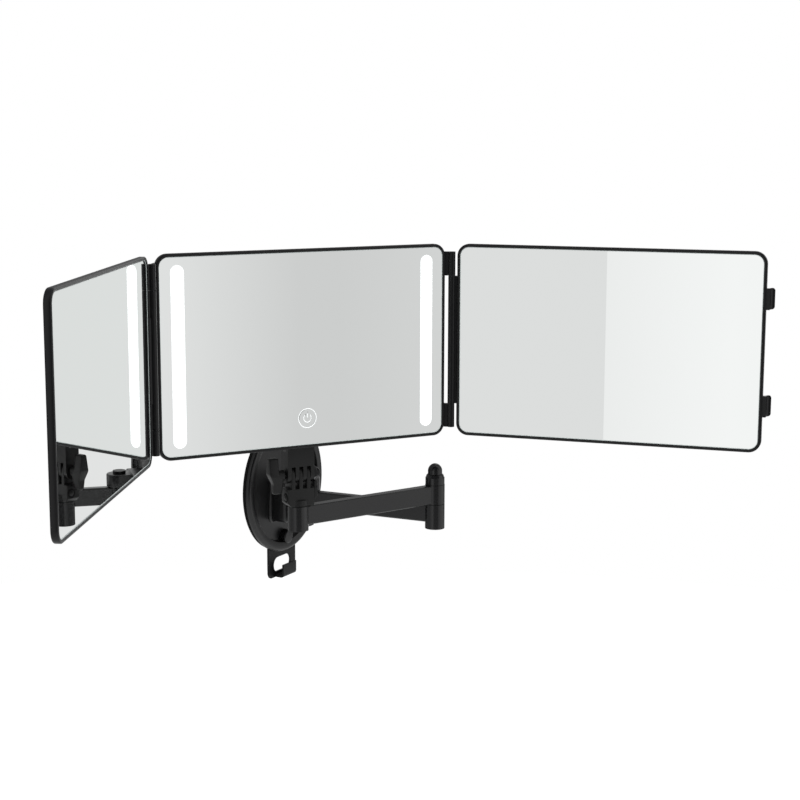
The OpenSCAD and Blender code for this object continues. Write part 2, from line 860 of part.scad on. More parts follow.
// Turns a shape drawn about the Z axis so that its height is measured out from the wall
module off_wall() { rotate([90, 0, 0]) children(); }

// Places its children at the two wall screws
module both_screws() {
    for (s = [-1, 1])
        translate([0, 0, s * screw_z])
            children();
}

// Steel plate flush in the pad, bent forward and up at its lower end as a hook
module wall_plate() {
    top = plate_top;
    height = top + tab_down;
    oval_z = -tab_down + oval_h / 2 + 4;
    color(grey) {
        difference() {
            translate([0, 0, (top - tab_down) / 2])
                slab_y(-steel_t, 0) rounded(tab_w, height, tab_r);
            translate([0, 0, oval_z])
                slab_y(-steel_t - eps, eps) rounded(oval_w, oval_h, oval_h / 2 - 0.01);
            both_screws() rod_y(screw_d / 2, -steel_t - eps, eps);
        }
        slab_x(-hook_w / 2, hook_w / 2)
            translate([0, -tab_down - steel_t])
                hook_side();
    }
}

// Side view of the hook: down from the plate, forward, and up again
module hook_side() {
    difference() {
        union() {
            translate([-steel_t, steel_t + bend]) square([steel_t, 4]);
            translate([-hook_out, 0]) square([hook_out, steel_t + bend]);
            translate([-hook_out, 0]) square([steel_t, hook_up]);
        }
        translate([-hook_out + steel_t, steel_t])
            square([hook_out - 2 * steel_t, 2 * hook_up]);
    }
}

module rubber_pad() {
    color(dark) difference() {
        off_wall() cylinder(r = disc_r - 1.3, h = pad_t, $fn = 96);
        slab_y(-pad_t - eps, eps)
            translate([-tab_w / 2 - slot_gap, -disc_r - eps])
                square([tab_w + 2 * slot_gap, disc_r + plate_top + slot_gap + eps]);
    }
}

// Half profile of the disc: groove over the pad, rounded edge, raised band, dished face
function disc_profile() = concat(
    [[0, pad_t], [disc_r - 4, pad_t], [disc_r - 4, pad_t + 0.8], [disc_r - 0.8, pad_t + 0.8]],
    [[disc_r, pad_t + 1.6]],
    arc([disc_r - 2.6, face_t - 2.6], 2.6, 0, 90),
    [[disc_r - band_w, face_t], [disc_r - band_w - 1.5, face_t - 1.4]],
    [[disc_r - band_w - 1.5 - dish_w, face_t - 0.6], [0, face_t - 0.6]]
);

// Rounded hub block section, grown by g
module hub_section(g = 0) {
    translate([0, hub_mid]) rounded(hub_w + 2 * g, hub_h + 2 * g, 7 + g);
}

// Disc, hub block and fork lugs in one casting
module base_casting() {
    color(black) difference() {
        union() {
            off_wall() rotate_extrude($fn = 96) polygon(disc_profile());
            slab_y(-hub_out, -face_t + 1) hub_section();
            for (i = [0:4])
                slab_y(-face_t - 1 - 5 * (1 - cos((5 - i) * 18)) * 0.2 * (5 - i), -face_t + 1)
                    hub_section(1.2 * i);
            for (z = [[-hub_bottom, lug_low], [lug_high, hub_top]])
                translate([0, -pivot_out, 0]) {
                    post(lug_r, z[0], z[1]);
                    slab_z(z[0], z[1])
                        translate([-lug_r, 0]) square([2 * lug_r, pivot_out - hub_out + 2]);
                }
        }
        translate([0, -pivot_out, 0]) post(arm_bolt_r + fit, -hub_bottom - eps, hub_top + eps);
        both_screws() {
            rod_y(screw_d / 2, -face_t - eps, 0);
            rod_y(cap_d / 2 + 0.1, -face_t - 5, -cap_seat);
        }
    }
}

module screw_caps() {
    color(dark) both_screws() off_wall()
        rotate_extrude()
            polygon([
                [0, cap_seat], [cap_d / 2, cap_seat], [cap_d / 2, face_t - 0.1],
                [cap_d / 2 - 0.6, face_t + 0.5], [0, face_t + 0.5]
            ]);
}

module base_bolt() {
    color(steel) translate([0, -pivot_out, 0]) {
        post(arm_bolt_r, -hub_bottom - 3.4, hub_top + 0.01);
        post(head_r + 0.8, hub_top, hub_top + 2.6);
    }
}

module base_nut() {
    color(grey) translate([0, -pivot_out, 0]) difference() {
        translate([0, 0, -hub_bottom - 4.4]) cylinder(r = 5.6, h = 4.4, $fn = 6);
        post(arm_bolt_r + fit, -hub_bottom - 3.4 - fit, -hub_bottom + eps);
    }
}

wall_plate();
rubber_pad();
base_casting();
screw_caps();
base_bolt();
base_nut();
rear_arm();
front_arm();
elbow_washer();
elbow_bolt();
elbow_collar();
elbow_knob();
front_washer();
swivel_bolt();
swivel_block();
tilt_bolt();
wing_knob();
tilt_nut();
finger_bracket();
bracket_screws();
power_housing();
housing_screws();
battery();
control_board();
charge_port();
centre_shell();
centre_backing();
centre_glass();
light_strips();
light_boards();
touch_key();
touch_board();
right_end_knuckles();
right_hinge_pin();
right_wing_knuckle();
right_shell();
right_backing();
right_glass();
latch_clips();
left_end_knuckles();
left_hinge_pin();
left_wing_knuckle();
left_shell();
left_backing();
left_glass();
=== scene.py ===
"""Looks of a trifold vanity mirror on a folding wall arm.

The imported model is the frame: its nodes keep their shape and place and get finishes here.
The panel frames, the base, the tilt head and the other rounded pieces are made again as
smooth skins, in millimetres in the axes of their own part, and are put in place in metres.
The wall is the plane Y = 0 and +Z is up.
"""

import logging
import math
from dataclasses import dataclass, field
from enum import Enum
from typing import Any

import bpy
import numpy as np
from mathutils import Matrix, Vector


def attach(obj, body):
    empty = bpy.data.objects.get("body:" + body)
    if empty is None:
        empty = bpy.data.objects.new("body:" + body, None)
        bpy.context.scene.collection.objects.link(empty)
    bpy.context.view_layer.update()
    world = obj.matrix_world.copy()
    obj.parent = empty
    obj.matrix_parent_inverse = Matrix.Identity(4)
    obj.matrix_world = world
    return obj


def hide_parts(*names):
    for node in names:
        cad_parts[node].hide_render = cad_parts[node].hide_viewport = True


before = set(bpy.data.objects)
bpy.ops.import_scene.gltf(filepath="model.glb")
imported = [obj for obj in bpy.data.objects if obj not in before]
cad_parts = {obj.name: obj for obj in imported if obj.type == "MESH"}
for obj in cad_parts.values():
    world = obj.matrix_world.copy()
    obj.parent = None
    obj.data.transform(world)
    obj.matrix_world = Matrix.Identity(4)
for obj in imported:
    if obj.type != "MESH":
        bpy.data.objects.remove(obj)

Node = bpy.types.Node
Piece = bpy.types.Object
Socket = bpy.types.NodeSocket
Tree = bpy.types.NodeTree
Pair = tuple[float, float]
# Points (n, 2) of a closed outline and their outward normals (n, 2)
Outline = tuple[np.ndarray, np.ndarray]

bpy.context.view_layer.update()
NODES: dict[str, Piece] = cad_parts
MM = 0.001
LOG = logging.getLogger("vanity_mirror")


# ---- Colours and nodes ----


def linear(hex_colour: str, alpha: float = 1.0) -> tuple[float, float, float, float]:
    """Turns an sRGB hex colour to linear light.

    Args:
        hex_colour: six hex digits, with or without a leading '#'.
        alpha: the fourth channel.

    Returns:
        Linear red, green, blue and alpha.
    """
    digits = hex_colour.lstrip("#")
    channels = [int(digits[i:i + 2], 16) / 255 for i in (0, 2, 4)]
    bent = [c / 12.92 if c <= 0.04045 else ((c + 0.055) / 1.055) ** 2.4 for c in channels]
    return (bent[0], bent[1], bent[2], alpha)


def add_node(
    tree: Tree, kind: str, inputs: dict[str | int, Any] | None = None, **settings: Any
) -> Node:
    """Adds one node, sets it up and joins it to what feeds it.

    Args:
        tree: the node tree that gets the node.
        kind: the shader node's type, without the prefix that they all share.
        inputs: for each input, a value or the output socket that feeds it.
        settings: values of the node's own properties.

    Returns:
        The new node.
    """
    made = tree.nodes.new(f"ShaderNode{kind}")
    for name, value in settings.items():
        setattr(made, name, value)
    for key, value in (inputs or {}).items():
        if isinstance(value, Socket):
            tree.links.new(value, made.inputs[key])
        else:
            made.inputs[key].default_value = value
    return made


def set_ramp(ramp_node: Node, stops: list[tuple[float, tuple]]) -> None:
    """Gives a colour ramp its stops.

    Args:
        ramp_node: a Color Ramp node.
        stops: positions from 0 to 1 with their linear colours.
    """
    elements = ramp_node.color_ramp.elements
    while len(elements) < len(stops):
        elements.new(0.5)
    for element, (position, colour) in zip(elements, stops):
        element.position = position
        element.color = colour


def emptied(holder: bpy.types.ID) -> Tree:
    """Turns on the nodes of a material or world.

    Args:
        holder: what owns the nodes.

    Returns:
        Its node tree, with nothing in it.
    """
    holder.use_nodes = True
    holder.node_tree.nodes.clear()
    return holder.node_tree


# ---- Finishes ----


class Surface:
    """A finish that makes its own material from one shader."""

    name: str

    def shader(self, tree: Tree, place: Socket) -> Node:
        """Makes the nodes of the surface.

        Args:
            tree: the material's node tree.
            place: object coordinates.

        Returns:
            The shader node.
        """
        raise NotImplementedError

    def build(self) -> bpy.types.Material:
        """Makes the material.

        Returns:
            The material, with its node tree in place.
        """
        material = bpy.data.materials.new(self.name)
        tree = emptied(material)
        place = add_node(tree, "TexCoord").outputs["Object"]
        shader = self.shader(tree, place)
        add_node(tree, "OutputMaterial", {"Surface": shader.outputs[0]})
        return material


@dataclass(frozen=True)
class Finish(Surface):
    """A rough or satin surface with a fine pattern and a slow change of tone.

    Attributes:
        name: the material's name, after what the real one is.
        colour: sRGB hex of the surface.
        tone: sRGB hex that the colour drifts to over the drift's scale.
        roughness: mean roughness.
        roughness_drift: how far the roughness swings about its mean.
        grain_mm: spacing of the fine pattern.
        relief_mm: height of the fine pattern.
        drift_mm: scale of the slow change of tone.
        metallic: 1 for bare metal, 0 for the rest.
        specular: specular level, on the shader's own socket.
    """

    name: str
    colour: str
    tone: str
    roughness: float
    roughness_drift: float = 0.05
    grain_mm: float = 0.6
    relief_mm: float = 0.02
    drift_mm: float = 30.0
    metallic: float = 0.0
    specular: float = 0.5

    def grain(self, tree: Tree, place: Socket) -> Socket:
        """Fine height pattern of the surface, from 0 to 1.

        Args:
            tree: the material's node tree.
            place: object coordinates.

        Returns:
            The socket that carries the height.
        """
        noise = add_node(tree, "TexNoise", {
            "Vector": place, "Scale": 1 / (self.grain_mm * MM), "Detail": 3.0, "Roughness": 0.6})
        return noise.outputs["Fac"]

    def shader(self, tree: Tree, place: Socket) -> Node:
        """Fine relief and roughness from the grain, under a slow change of tone."""
        drift = add_node(tree, "TexNoise", {
            "Vector": place, "Scale": 1 / (self.drift_mm * MM), "Detail": 2.0})
        tint = add_node(tree, "Mix", {
            0: drift.outputs["Fac"], 6: linear(self.colour), 7: linear(self.tone)},
            data_type="RGBA")
        height = self.grain(tree, place)
        rough = add_node(tree, "MapRange", {
            "Value": height, "To Min": self.roughness - self.roughness_drift,
            "To Max": self.roughness + self.roughness_drift})
        bump = add_node(tree, "Bump", {
            "Height": height, "Distance": self.relief_mm * MM, "Strength": 0.6})
        return add_node(tree, "BsdfPrincipled", {
            "Base Color": tint.outputs[2], "Roughness": rough.outputs["Result"],
            "Normal": bump.outputs["Normal"], "Metallic": self.metallic,
            "Specular IOR Level": self.specular})


@dataclass(frozen=True)
class BrushedSteel(Finish):
    """Turned or drawn steel: the pattern is drawn out along one direction."""

    stretch: tuple[float, float, float] = (1.0, 1.0, 0.08)

    def grain(self, tree: Tree, place: Socket) -> Socket:
        """Fine lines along the stretched direction, from 0 to 1."""
        drawn = add_node(tree, "Mapping", {"Vector": place, "Scale": self.stretch})
        noise = add_node(tree, "TexNoise", {
            "Vector": drawn.outputs["Vector"], "Scale": 1 / (self.grain_mm * MM), "Detail": 2.0})
        return noise.outputs["Fac"]


@dataclass(frozen=True)
class SilveredGlass(Surface):
    """Float glass silvered on the back: a sharp reflection, very faintly green.

    Attributes:
        name: the material's name.
        colour: sRGB hex of the silver seen through the glass.
        film: roughness of the thin film that handling leaves.
    """

    name: str
    colour: str
    film: float

    def shader(self, tree: Tree, place: Socket) -> Node:
        """Metal without roughness but for a thin patchy film."""
        cloud = add_node(tree, "TexNoise", {
            "Vector": place, "Scale": 1 / (60 * MM), "Detail": 2.0})
        film = add_node(tree, "MapRange", {
            "Value": cloud.outputs["Fac"], "From Min": 0.45, "To Min": 0.0, "To Max": self.film})
        tint = add_node(tree, "Mix", {
            0: film.outputs["Result"], 6: linear(self.colour), 7: linear("#ffffff")},
            data_type="RGBA")
        return add_node(tree, "BsdfPrincipled", {
            "Base Color": tint.outputs[2], "Roughness": film.outputs["Result"],
            "Metallic": 1.0})


@dataclass(frozen=True)
class LitDiffuser(Surface):
    """Frosted acrylic or print, lit from behind.

    Attributes:
        name: the material's name.
        colour: sRGB hex of the body and the light.
        strength: strength of the light.
        cloud: how much the light changes over the piece.
    """

    name: str
    colour: str
    strength: float
    cloud: float = 0.04

    def shader(self, tree: Tree, place: Socket) -> Node:
        """A satin body that gives light."""
        patches = add_node(tree, "TexNoise", {
            "Vector": place, "Scale": 1 / (12 * MM), "Detail": 1.0})
        light = add_node(tree, "MapRange", {
            "Value": patches.outputs["Fac"], "To Min": self.strength * (1 - self.cloud),
            "To Max": self.strength * (1 + self.cloud)})
        return add_node(tree, "BsdfPrincipled", {
            "Base Color": linear(self.colour), "Roughness": 0.55,
            "Emission Color": linear(self.colour),
            "Emission Strength": light.outputs["Result"]})


class Palette(Enum):
    """Every finish of the mirror, named for the real material."""

    # Injection-moulded ABS with a fine spark-eroded skin: a dim, even sheen
    FRAME_ABS = Finish(
        "black_abs_frame", "#0e0e0f", "#111112", 0.3, 0.04, 0.5, 0.004, 40, specular=0.25)
    # The housing has a coarser moulded skin than the frames
    HOUSING_ABS = Finish(
        "black_abs_housing", "#161616", "#1b1b1c", 0.5, 0.06, 0.9, 0.03, 35, specular=0.25)
    # Cast aluminium under black powder coat: a soft orange peel
    COATED_CASTING = Finish(
        "powder_coated_casting", "#0c0c0d", "#101011", 0.33, 0.04, 1.2, 0.006, 50, specular=0.5)
    # Extruded aluminium arms under the same coat, a little smoother
    COATED_ARM = Finish(
        "powder_coated_arm", "#0c0c0d", "#101011", 0.24, 0.03, 1.0, 0.004, 60, specular=0.5)
    # Glass-filled nylon fingers and knobs: dull and faintly mottled
    FILLED_NYLON = Finish(
        "glass_filled_nylon", "#101010", "#161616", 0.42, 0.06, 0.7, 0.012, 9, specular=0.28)
    # Dark plastic of the swivel block
    DARK_PLASTIC = Finish(
        "dark_moulded_plastic", "#101010", "#151515", 0.4, 0.05, 0.7, 0.01, 12, specular=0.28)
    # Steel sheet with black zinc: tight grain and a sheen
    BLACK_STEEL = Finish(
        "black_zinc_steel", "#0b0b0c", "#101011", 0.36, 0.06, 0.6, 0.008, 14, specular=0.22)
    # Natural rubber: matt, with a soft bloom
    RUBBER = Finish("black_rubber", "#0b0b0b", "#121212", 0.8, 0.08, 0.7, 0.03, 10, specular=0.15)
    # Closed-cell foam tape
    FOAM = Finish("foam_tape", "#2a2a2a", "#383838", 0.95, 0.03, 0.5, 0.15, 6, specular=0.2)
    # Drawn steel pins and bolts
    BRIGHT_STEEL = BrushedSteel(
        "bright_steel", "#8d9094", "#a9acb0", 0.3, 0.08, 0.12, 0.01, 12, metallic=1.0)
    # Nickel-plated shell of the charging inlet
    NICKEL = BrushedSteel(
        "nickel_plate", "#b0b0ac", "#c4c4c0", 0.22, 0.05, 0.2, 0.005, 4, metallic=1.0)
    # Aluminium-backed white board under the diffusers
    WHITE_BOARD = Finish("white_solder_mask", "#e8e8e2", "#f2f2ee", 0.5, 0.05, 0.6, 0.02, 8)
    # Epoxy board with green mask
    GREEN_BOARD = Finish("green_solder_mask", "#14502c", "#1d6a3a", 0.35, 0.06, 0.9, 0.03, 3)
    # Shrink wrap of the lithium cell
    CELL_WRAP = Finish("cell_shrink_wrap", "#2f5f9a", "#3a70ad", 0.35, 0.06, 2.0, 0.05, 15)
    MIRROR = SilveredGlass("silvered_float_glass", "#f0f2f1", 0.004)
    # Opal acrylic in front of the light boards
    DIFFUSER = LitDiffuser("lit_opal_acrylic", "#ffffff", 1.3)
    # Edge of the opal acrylic, where less light comes through
    DIFFUSER_EDGE = LitDiffuser("opal_acrylic_edge", "#eef0f0", 0.45)
    # White print of the touch key, lit by the board behind it
    KEY_PRINT = LitDiffuser("lit_white_print", "#f4f6f6", 0.3)
    # Pale ring at the edge of the glass: a painted highlight that makes the fine bright line inside
    # the rim
    GROUND_EDGE = Finish(
        "ground_glass_edge", "#b9c2c0", "#cfd6d4", 0.25, 0.05, 0.4, 0.005, 20, specular=0.6)

    def material(self) -> bpy.types.Material:
        """The finish's material, made once."""
        return bpy.data.materials.get(self.value.name) or self.value.build()


# ---- Places and skins ----


@dataclass(frozen=True)
class Place:
    """Axes of a sub-assembly: an origin in millimetres and a turn about Z.

    Attributes:
        origin: the origin in the frame's axes.
        turn: degrees about Z.
    """

    origin: tuple[float, float, float]
    turn: float = 0.0

    def matrix(self) -> np.ndarray:
        """The 3 by 3 turn about Z."""
        a = math.radians(self.turn)
        return np.array([
            [math.cos(a), -math.sin(a), 0.0], [math.sin(a), math.cos(a), 0.0], [0.0, 0.0, 1.0]])

    def moved(self, x: float, y: float, z: float, turn: float = 0.0) -> "Place":
        """Axes shifted by (x, y, z) along these, then turned by turn degrees."""
        origin = np.array(self.origin) + self.matrix() @ np.array([x, y, z])
        return Place(tuple(origin.tolist()), self.turn + turn)

    def metres(self, points: np.ndarray) -> np.ndarray:
        """Points in these axes, in millimetres, as metres in the frame's axes."""
        flat = points.reshape(-1, 3) @ self.matrix().T + np.array(self.origin)
        return flat * MM


WALL = Place((0.0, 0.0, 0.0))


@dataclass
class Skin:
    """Gathers vertices and faces of one piece and makes its mesh.

    Attributes:
        name: the piece's name.
        points: arrays of vertices in metres.
        loops: vertex numbers of the faces, one array for each added part.
        sizes: corner counts of the faces.
        smooth: whether each face is shaded smooth.
    """

    name: str
    points: list[np.ndarray] = field(default_factory=list)
    loops: list[np.ndarray] = field(default_factory=list)
    sizes: list[np.ndarray] = field(default_factory=list)
    smooth: list[np.ndarray] = field(default_factory=list)

    def add(
        self, place: Place, rings: np.ndarray, flat_bands: tuple[int, ...] = (), wrap: bool = False
    ) -> "Skin":
        """Adds a skin through a stack of closed rings.

        Vertex (i, j) is point j of ring i; each quad joins (i, j), (i, j+1), (i+1, j+1) and
        (i+1, j), and j runs round. The faces look outward where the rings run counter-clockwise
        about the way they are stacked.

        Args:
            place: the axes that the rings are drawn in.
            rings: array (rings, points, 3) in millimetres.
            flat_bands: numbers of the bands between rings that are shaded flat.
            wrap: whether the last ring joins the first; otherwise flat caps close both ends.

        Returns:
            This skin.
        """
        count, per, _ = rings.shape
        bands = count if wrap else count - 1
        start = sum(len(p) for p in self.points)
        self.points.append(place.metres(rings))
        i, j = np.meshgrid(np.arange(bands), np.arange(per), indexing="ij")
        nxt, up = (j + 1) % per, (i + 1) % count
        quads = np.stack([i * per + j, i * per + nxt, up * per + nxt, up * per + j], -1)
        self.loops.append((quads.reshape(-1, 4) + start).ravel())
        self.sizes.append(np.full(bands * per, 4))
        self.smooth.append(~np.isin(i.ravel(), flat_bands))
        if not wrap:
            self.loops.append(np.arange(per)[::-1] + start)
            self.loops.append(np.arange(per) + start + (count - 1) * per)
            self.sizes.append(np.array([per, per]))
            self.smooth.append(np.array([False, False]))
        return self

    def build(self, finish: Palette, sharp: float = 35.0) -> Piece:
        """Makes the mesh and its object.

        Args:
            finish: the piece's finish.
            sharp: edges that turn by more than this many degrees are shaded sharp.

        Returns:
            The object, at the origin and in the scene.
        """
        mesh = bpy.data.meshes.new(self.name)
        points = np.concatenate(self.points)
        loops = np.concatenate(self.loops)
        sizes = np.concatenate(self.sizes)
        mesh.vertices.add(len(points))
        mesh.vertices.foreach_set("co", points.ravel())
        mesh.loops.add(len(loops))
        mesh.loops.foreach_set("vertex_index", loops)
        mesh.polygons.add(len(sizes))
        mesh.polygons.foreach_set("loop_start", np.concatenate([[0], np.cumsum(sizes)[:-1]]))
        mesh.polygons.foreach_set("use_smooth", np.concatenate(self.smooth))
        mesh.update(calc_edges=True)
        mesh.validate()
        mesh.set_sharp_from_angle(angle=math.radians(sharp))
        mesh.materials.append(finish.material())
        piece = bpy.data.objects.new(self.name, mesh)
        bpy.context.scene.collection.objects.link(piece)
        return piece


def rounded_outline(
    width: float, height: float, radius: float, steps: int = 14, middle: float = 0.0
) -> Outline:
    """Rounded rectangle in X and Z, counter-clockwise, with its middle over the origin.

    Each corner is a quarter circle: centre + radius * (cos a, sin a).

    Args:
        width: size along X.
        height: size along Z.
        radius: radius of the corners.
        steps: points on each corner, less one.
        middle: Z of the middle.

    Returns:
        The points (n, 2) and their outward normals (n, 2).
    """
    a = np.linspace(0, math.pi / 2, steps + 1)
    quarter = np.concatenate([a + k * math.pi / 2 for k in range(4)])
    sign_x = np.repeat([1, -1, -1, 1], steps + 1)
    sign_z = np.repeat([1, 1, -1, -1], steps + 1)
    normals = np.stack([np.cos(quarter), np.sin(quarter)], -1)
    centres = np.stack([sign_x * (width / 2 - radius), sign_z * (height / 2 - radius)], -1)
    return centres + radius * normals + np.array([0.0, middle]), normals


def arc(centre: Pair, radius: float, start: float, end: float, steps: int = 5) -> np.ndarray:
    """Part of a circle: centre + radius * (cos a, sin a), with a from start to end.

    Args:
        centre: the circle's centre.
        radius: its radius.
        start: first angle, in degrees.
        end: last angle, in degrees.
        steps: points, less one.

    Returns:
        Points (steps + 1, 2).
    """
    a = np.radians(np.linspace(start, end, steps + 1))
    return np.stack([centre[0] + radius * np.cos(a), centre[1] + radius * np.sin(a)], -1)


def carry_round(outline: np.ndarray, normals: np.ndarray, profile: np.ndarray) -> np.ndarray:
    """Carries a profile round an outline.

    A profile point (inset, y) makes a ring: outline - inset * normal, at depth y.

    Args:
        outline: points (n, 2) in X and Z.
        normals: outward normals (n, 2).
        profile: points (k, 2), inset from the outline and depth along Y.

    Returns:
        Rings (k, n, 3).
    """
    flat = outline[None] - profile[:, None, :1] * normals[None]
    depth = np.broadcast_to(profile[:, 1][:, None, None], (len(profile), len(outline), 1))
    return np.concatenate([flat[..., :1], depth, flat[..., 1:]], -1)


# Turns a shape stacked along its local Z so that it is stacked along the named way
STACKED = {
    "up": np.eye(3),
    "off_wall": np.array([[1.0, 0.0, 0.0], [0.0, 0.0, -1.0], [0.0, 1.0, 0.0]]),
    "right": np.array([[0.0, 0.0, 1.0], [0.0, 1.0, 0.0], [-1.0, 0.0, 0.0]]),
}


def stacked(flats: np.ndarray, heights: np.ndarray, way: str) -> np.ndarray:
    """Sets flat loops at their heights and lays the stack along the named way.

    Args:
        flats: loops (k, n, 2).
        heights: the height of each loop.
        way: a key of STACKED.

    Returns:
        Rings (k, n, 3).
    """
    tall = np.broadcast_to(heights[:, None, None], (*flats.shape[:2], 1))
    return np.concatenate([flats, tall], -1) @ STACKED[way].T


def turned(profile: np.ndarray, way: str = "up", steps: int = 64) -> np.ndarray:
    """Rings of a profile turned round an axis.

    A profile point (radius, height) makes the ring (radius cos a, radius sin a, height), which
    is then laid along the named way.

    Args:
        profile: points (k, 2) of radius and height.
        way: a key of STACKED.
        steps: points on each ring.

    Returns:
        Rings (k, steps, 3).
    """
    a = np.linspace(0, 2 * math.pi, steps, endpoint=False)
    circle = np.stack([np.cos(a), np.sin(a)], -1)
    return stacked(profile[:, 0][:, None, None] * circle[None], profile[:, 1], way)


def rounded_polygon(corners: list[Pair], radii: list[float], steps: int = 6) -> Outline:
    """Convex polygon with rounded corners.

    At each corner the arc is centre + radius * n, with n swinging from the normal of the edge
    that arrives to that of the edge that leaves.

    Args:
        corners: counter-clockwise corners.
        radii: radius at each corner.
        steps: points on each corner, less one.

    Returns:
        The points (n, 2) and their outward normals (n, 2).
    """
    points, normals = [], []
    corner = np.array(corners, float)
    for k, radius in enumerate(radii):
        arrive = corner[k] - corner[k - 1]
        leave = corner[(k + 1) % len(corner)] - corner[k]
        start = math.atan2(-arrive[0], arrive[1])
        swing = (math.atan2(-leave[0], leave[1]) - start) % (2 * math.pi)
        a = start + np.linspace(0, swing, steps + 1)
        n = np.stack([np.cos(a), np.sin(a)], -1)
        middle = np.array([math.cos(start + swing / 2), math.sin(start + swing / 2)])
        points.append(corner[k] - middle * radius / math.cos(swing / 2) + radius * n)
        normals.append(n)
    return np.concatenate(points), np.concatenate(normals)


def pressed(
    outline: Outline, low: float, high: float, edge: float, way: str = "up", steps: int = 4
) -> np.ndarray:
    """Rings of an outline drawn from one height to another, with quarter-round edges.

    The outline's corners are at least as round as the edges, so that no ring crosses itself.

    Args:
        outline: points and normals.
        low: height of the first end.
        high: height of the last end.
        edge: radius of both edges.
        way: a key of STACKED.
        steps: points on each edge, less one.

    Returns:
        Rings (k, n, 3).
    """
    a = np.linspace(0, math.pi / 2, steps + 1)
    inset = edge * (1 - np.sin(a))
    rise = edge * (1 - np.cos(a))
    insets = np.concatenate([inset, inset[::-1]])
    heights = np.concatenate([low + rise, (high - rise)[::-1]])
    return stacked(outline[0][None] - insets[:, None, None] * outline[1][None], heights, way)


def dress(node: str, finish: Palette) -> None:
    """Gives a node of the frame its finish.

    Args:
        node: the node's name.
        finish: its finish.
    """
    piece = NODES[node]
    if piece.material_slots:
        for material_slot in piece.material_slots:
            material_slot.material = finish.material()
    else:
        piece.data.materials.append(finish.material())


def fitted(skin: Skin, finish: Palette, body: str, node: str = "") -> Piece:
    """Makes a skin's piece, which may stand in for a node of the frame.

    Args:
        skin: the piece's skin.
        finish: the finish of the piece and of that node.
        body: the body it moves with.
        node: the node that it replaces, if any.

    Returns:
        The piece.
    """
    piece = skin.build(finish)
    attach(piece, body)
    if node:
        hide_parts(node)
        dress(node, finish)
    return piece


# ---- Sub-assemblies ----


@dataclass(frozen=True)
class ArmGeometry:
    """Places of the arm's axes and of the panels, in millimetres and degrees."""

    pivot_out: float = 29.0
    rear_len: float = 125.0
    front_len: float = 140.0
    rear_turn: float = 4.0
    front_turn: float = -115.0
    head_turn: float = -33.0
    axis_back: float = 19.3
    panel_z: float = 145.0
    hinge_x: float = 130.2
    wing_mid: float = 129.5
    right_axis: float = 2.6
    right_set: float = 0.6
    right_open: float = 46.0
    left_axis: float = 7.0
    left_set: float = 2.5
    left_open: float = 57.0

    def pivot(self) -> Place:
        """Base pivot: the rear arm runs along the local -Y."""
        return Place((0.0, -self.pivot_out, 0.0), self.rear_turn)

    def elbow(self) -> Place:
        """Elbow: the front arm runs along the local -Y."""
        at = self.pivot().moved(0, -self.rear_len, 0)
        return Place(at.origin, self.front_turn)

    def head(self) -> Place:
        """Front pivot, turned like the mirror."""
        at = self.elbow().moved(0, -self.front_len, 0)
        return Place(at.origin, self.head_turn)

    def centre(self) -> Place:
        """Centre of the centre glass, on its front face."""
        return self.head().moved(0, -self.axis_back, self.panel_z)

    def right(self) -> Place:
        """Centre of the right wing's glass."""
        axis = self.centre().moved(self.hinge_x, -self.right_axis, 0, -self.right_open)
        return axis.moved(self.wing_mid, self.right_set, 0)

    def left(self) -> Place:
        """Centre of the left wing's glass."""
        axis = self.centre().moved(-self.hinge_x, -self.left_axis, 0, self.left_open)
        return axis.moved(-self.wing_mid, self.left_set, 0)


@dataclass
class MirrorPanel:
    """One framed panel: a moulded tray with a round-edged rim, and its glass.

    Attributes:
        side: the panel's name, as in the frame's nodes.
        body: the body it moves with.
        place: axes on the front of its glass.
        line: insets from the rim of the two sides of the pale ring that paints the highlight along
            the glass's edge.
    """

    side: str
    body: str
    place: Place
    width: float = 250.0
    height: float = 159.0
    corner: float = 10.0
    rim: float = 2.5
    lip: float = 1.0
    back: float = 4.3
    floor: float = 3.0
    edge: float = 1.1
    inner_edge: float = 0.35
    line: Pair = (0.05, 0.5)
    line_h: float = 0.18
    line_foot: float = 0.02

    def tray_profile(self) -> np.ndarray:
        """Profile of the tray, from the back's edge round the rim to the floor under the glass.

        The outer edges are quarter circles of radius edge, the rim's inner edge is one of
        radius inner_edge.

        Returns:
            Points (k, 2) of inset and depth.
        """
        front, e, f = -self.lip, self.edge, self.inner_edge
        return np.concatenate([
            [(4.0, self.back)],
            arc((e, self.back - e), e, 90, 180),
            arc((e, front + e), e, 180, 270),
            arc((self.rim - f, front + f), f, 270, 360, 3),
            [(self.rim, self.floor), (self.rim + 2.0, self.floor)],
        ])

    def build(self) -> list[Piece]:
        """Makes the tray and the pale ring that paints the fine bright highlight along the glass's
        edge, and dresses the panel's nodes.

        Returns:
            Both pieces.
        """
        outline, normals = rounded_outline(self.width, self.height, self.corner)
        rings = carry_round(outline, normals, self.tray_profile())[::-1]
        skin = Skin(f"{self.side}_frame_tray")
        skin.add(self.place, rings, flat_bands=(0, 1, len(rings) - 2))
        tray = fitted(skin, Palette.FRAME_ABS, self.body, f"{self.side}_shell")
        dress(f"{self.side}_glass", Palette.MIRROR)
        dress(f"{self.side}_backing", Palette.FOAM)
        # The pale ring along the glass's edge is a painted highlight, the bright line inside the
        # rim
        near, far = self.rim + self.line[0], self.rim + self.line[1]
        shape = np.array([(near, 0.0), (near, -self.line_h), (far, -self.line_foot), (far, 0.0)])
        skin = Skin(f"{self.side}_glass_edge")
        skin.add(self.place, carry_round(outline, normals, shape), wrap=True)
        return [tray, fitted(skin, Palette.GROUND_EDGE, self.body)]


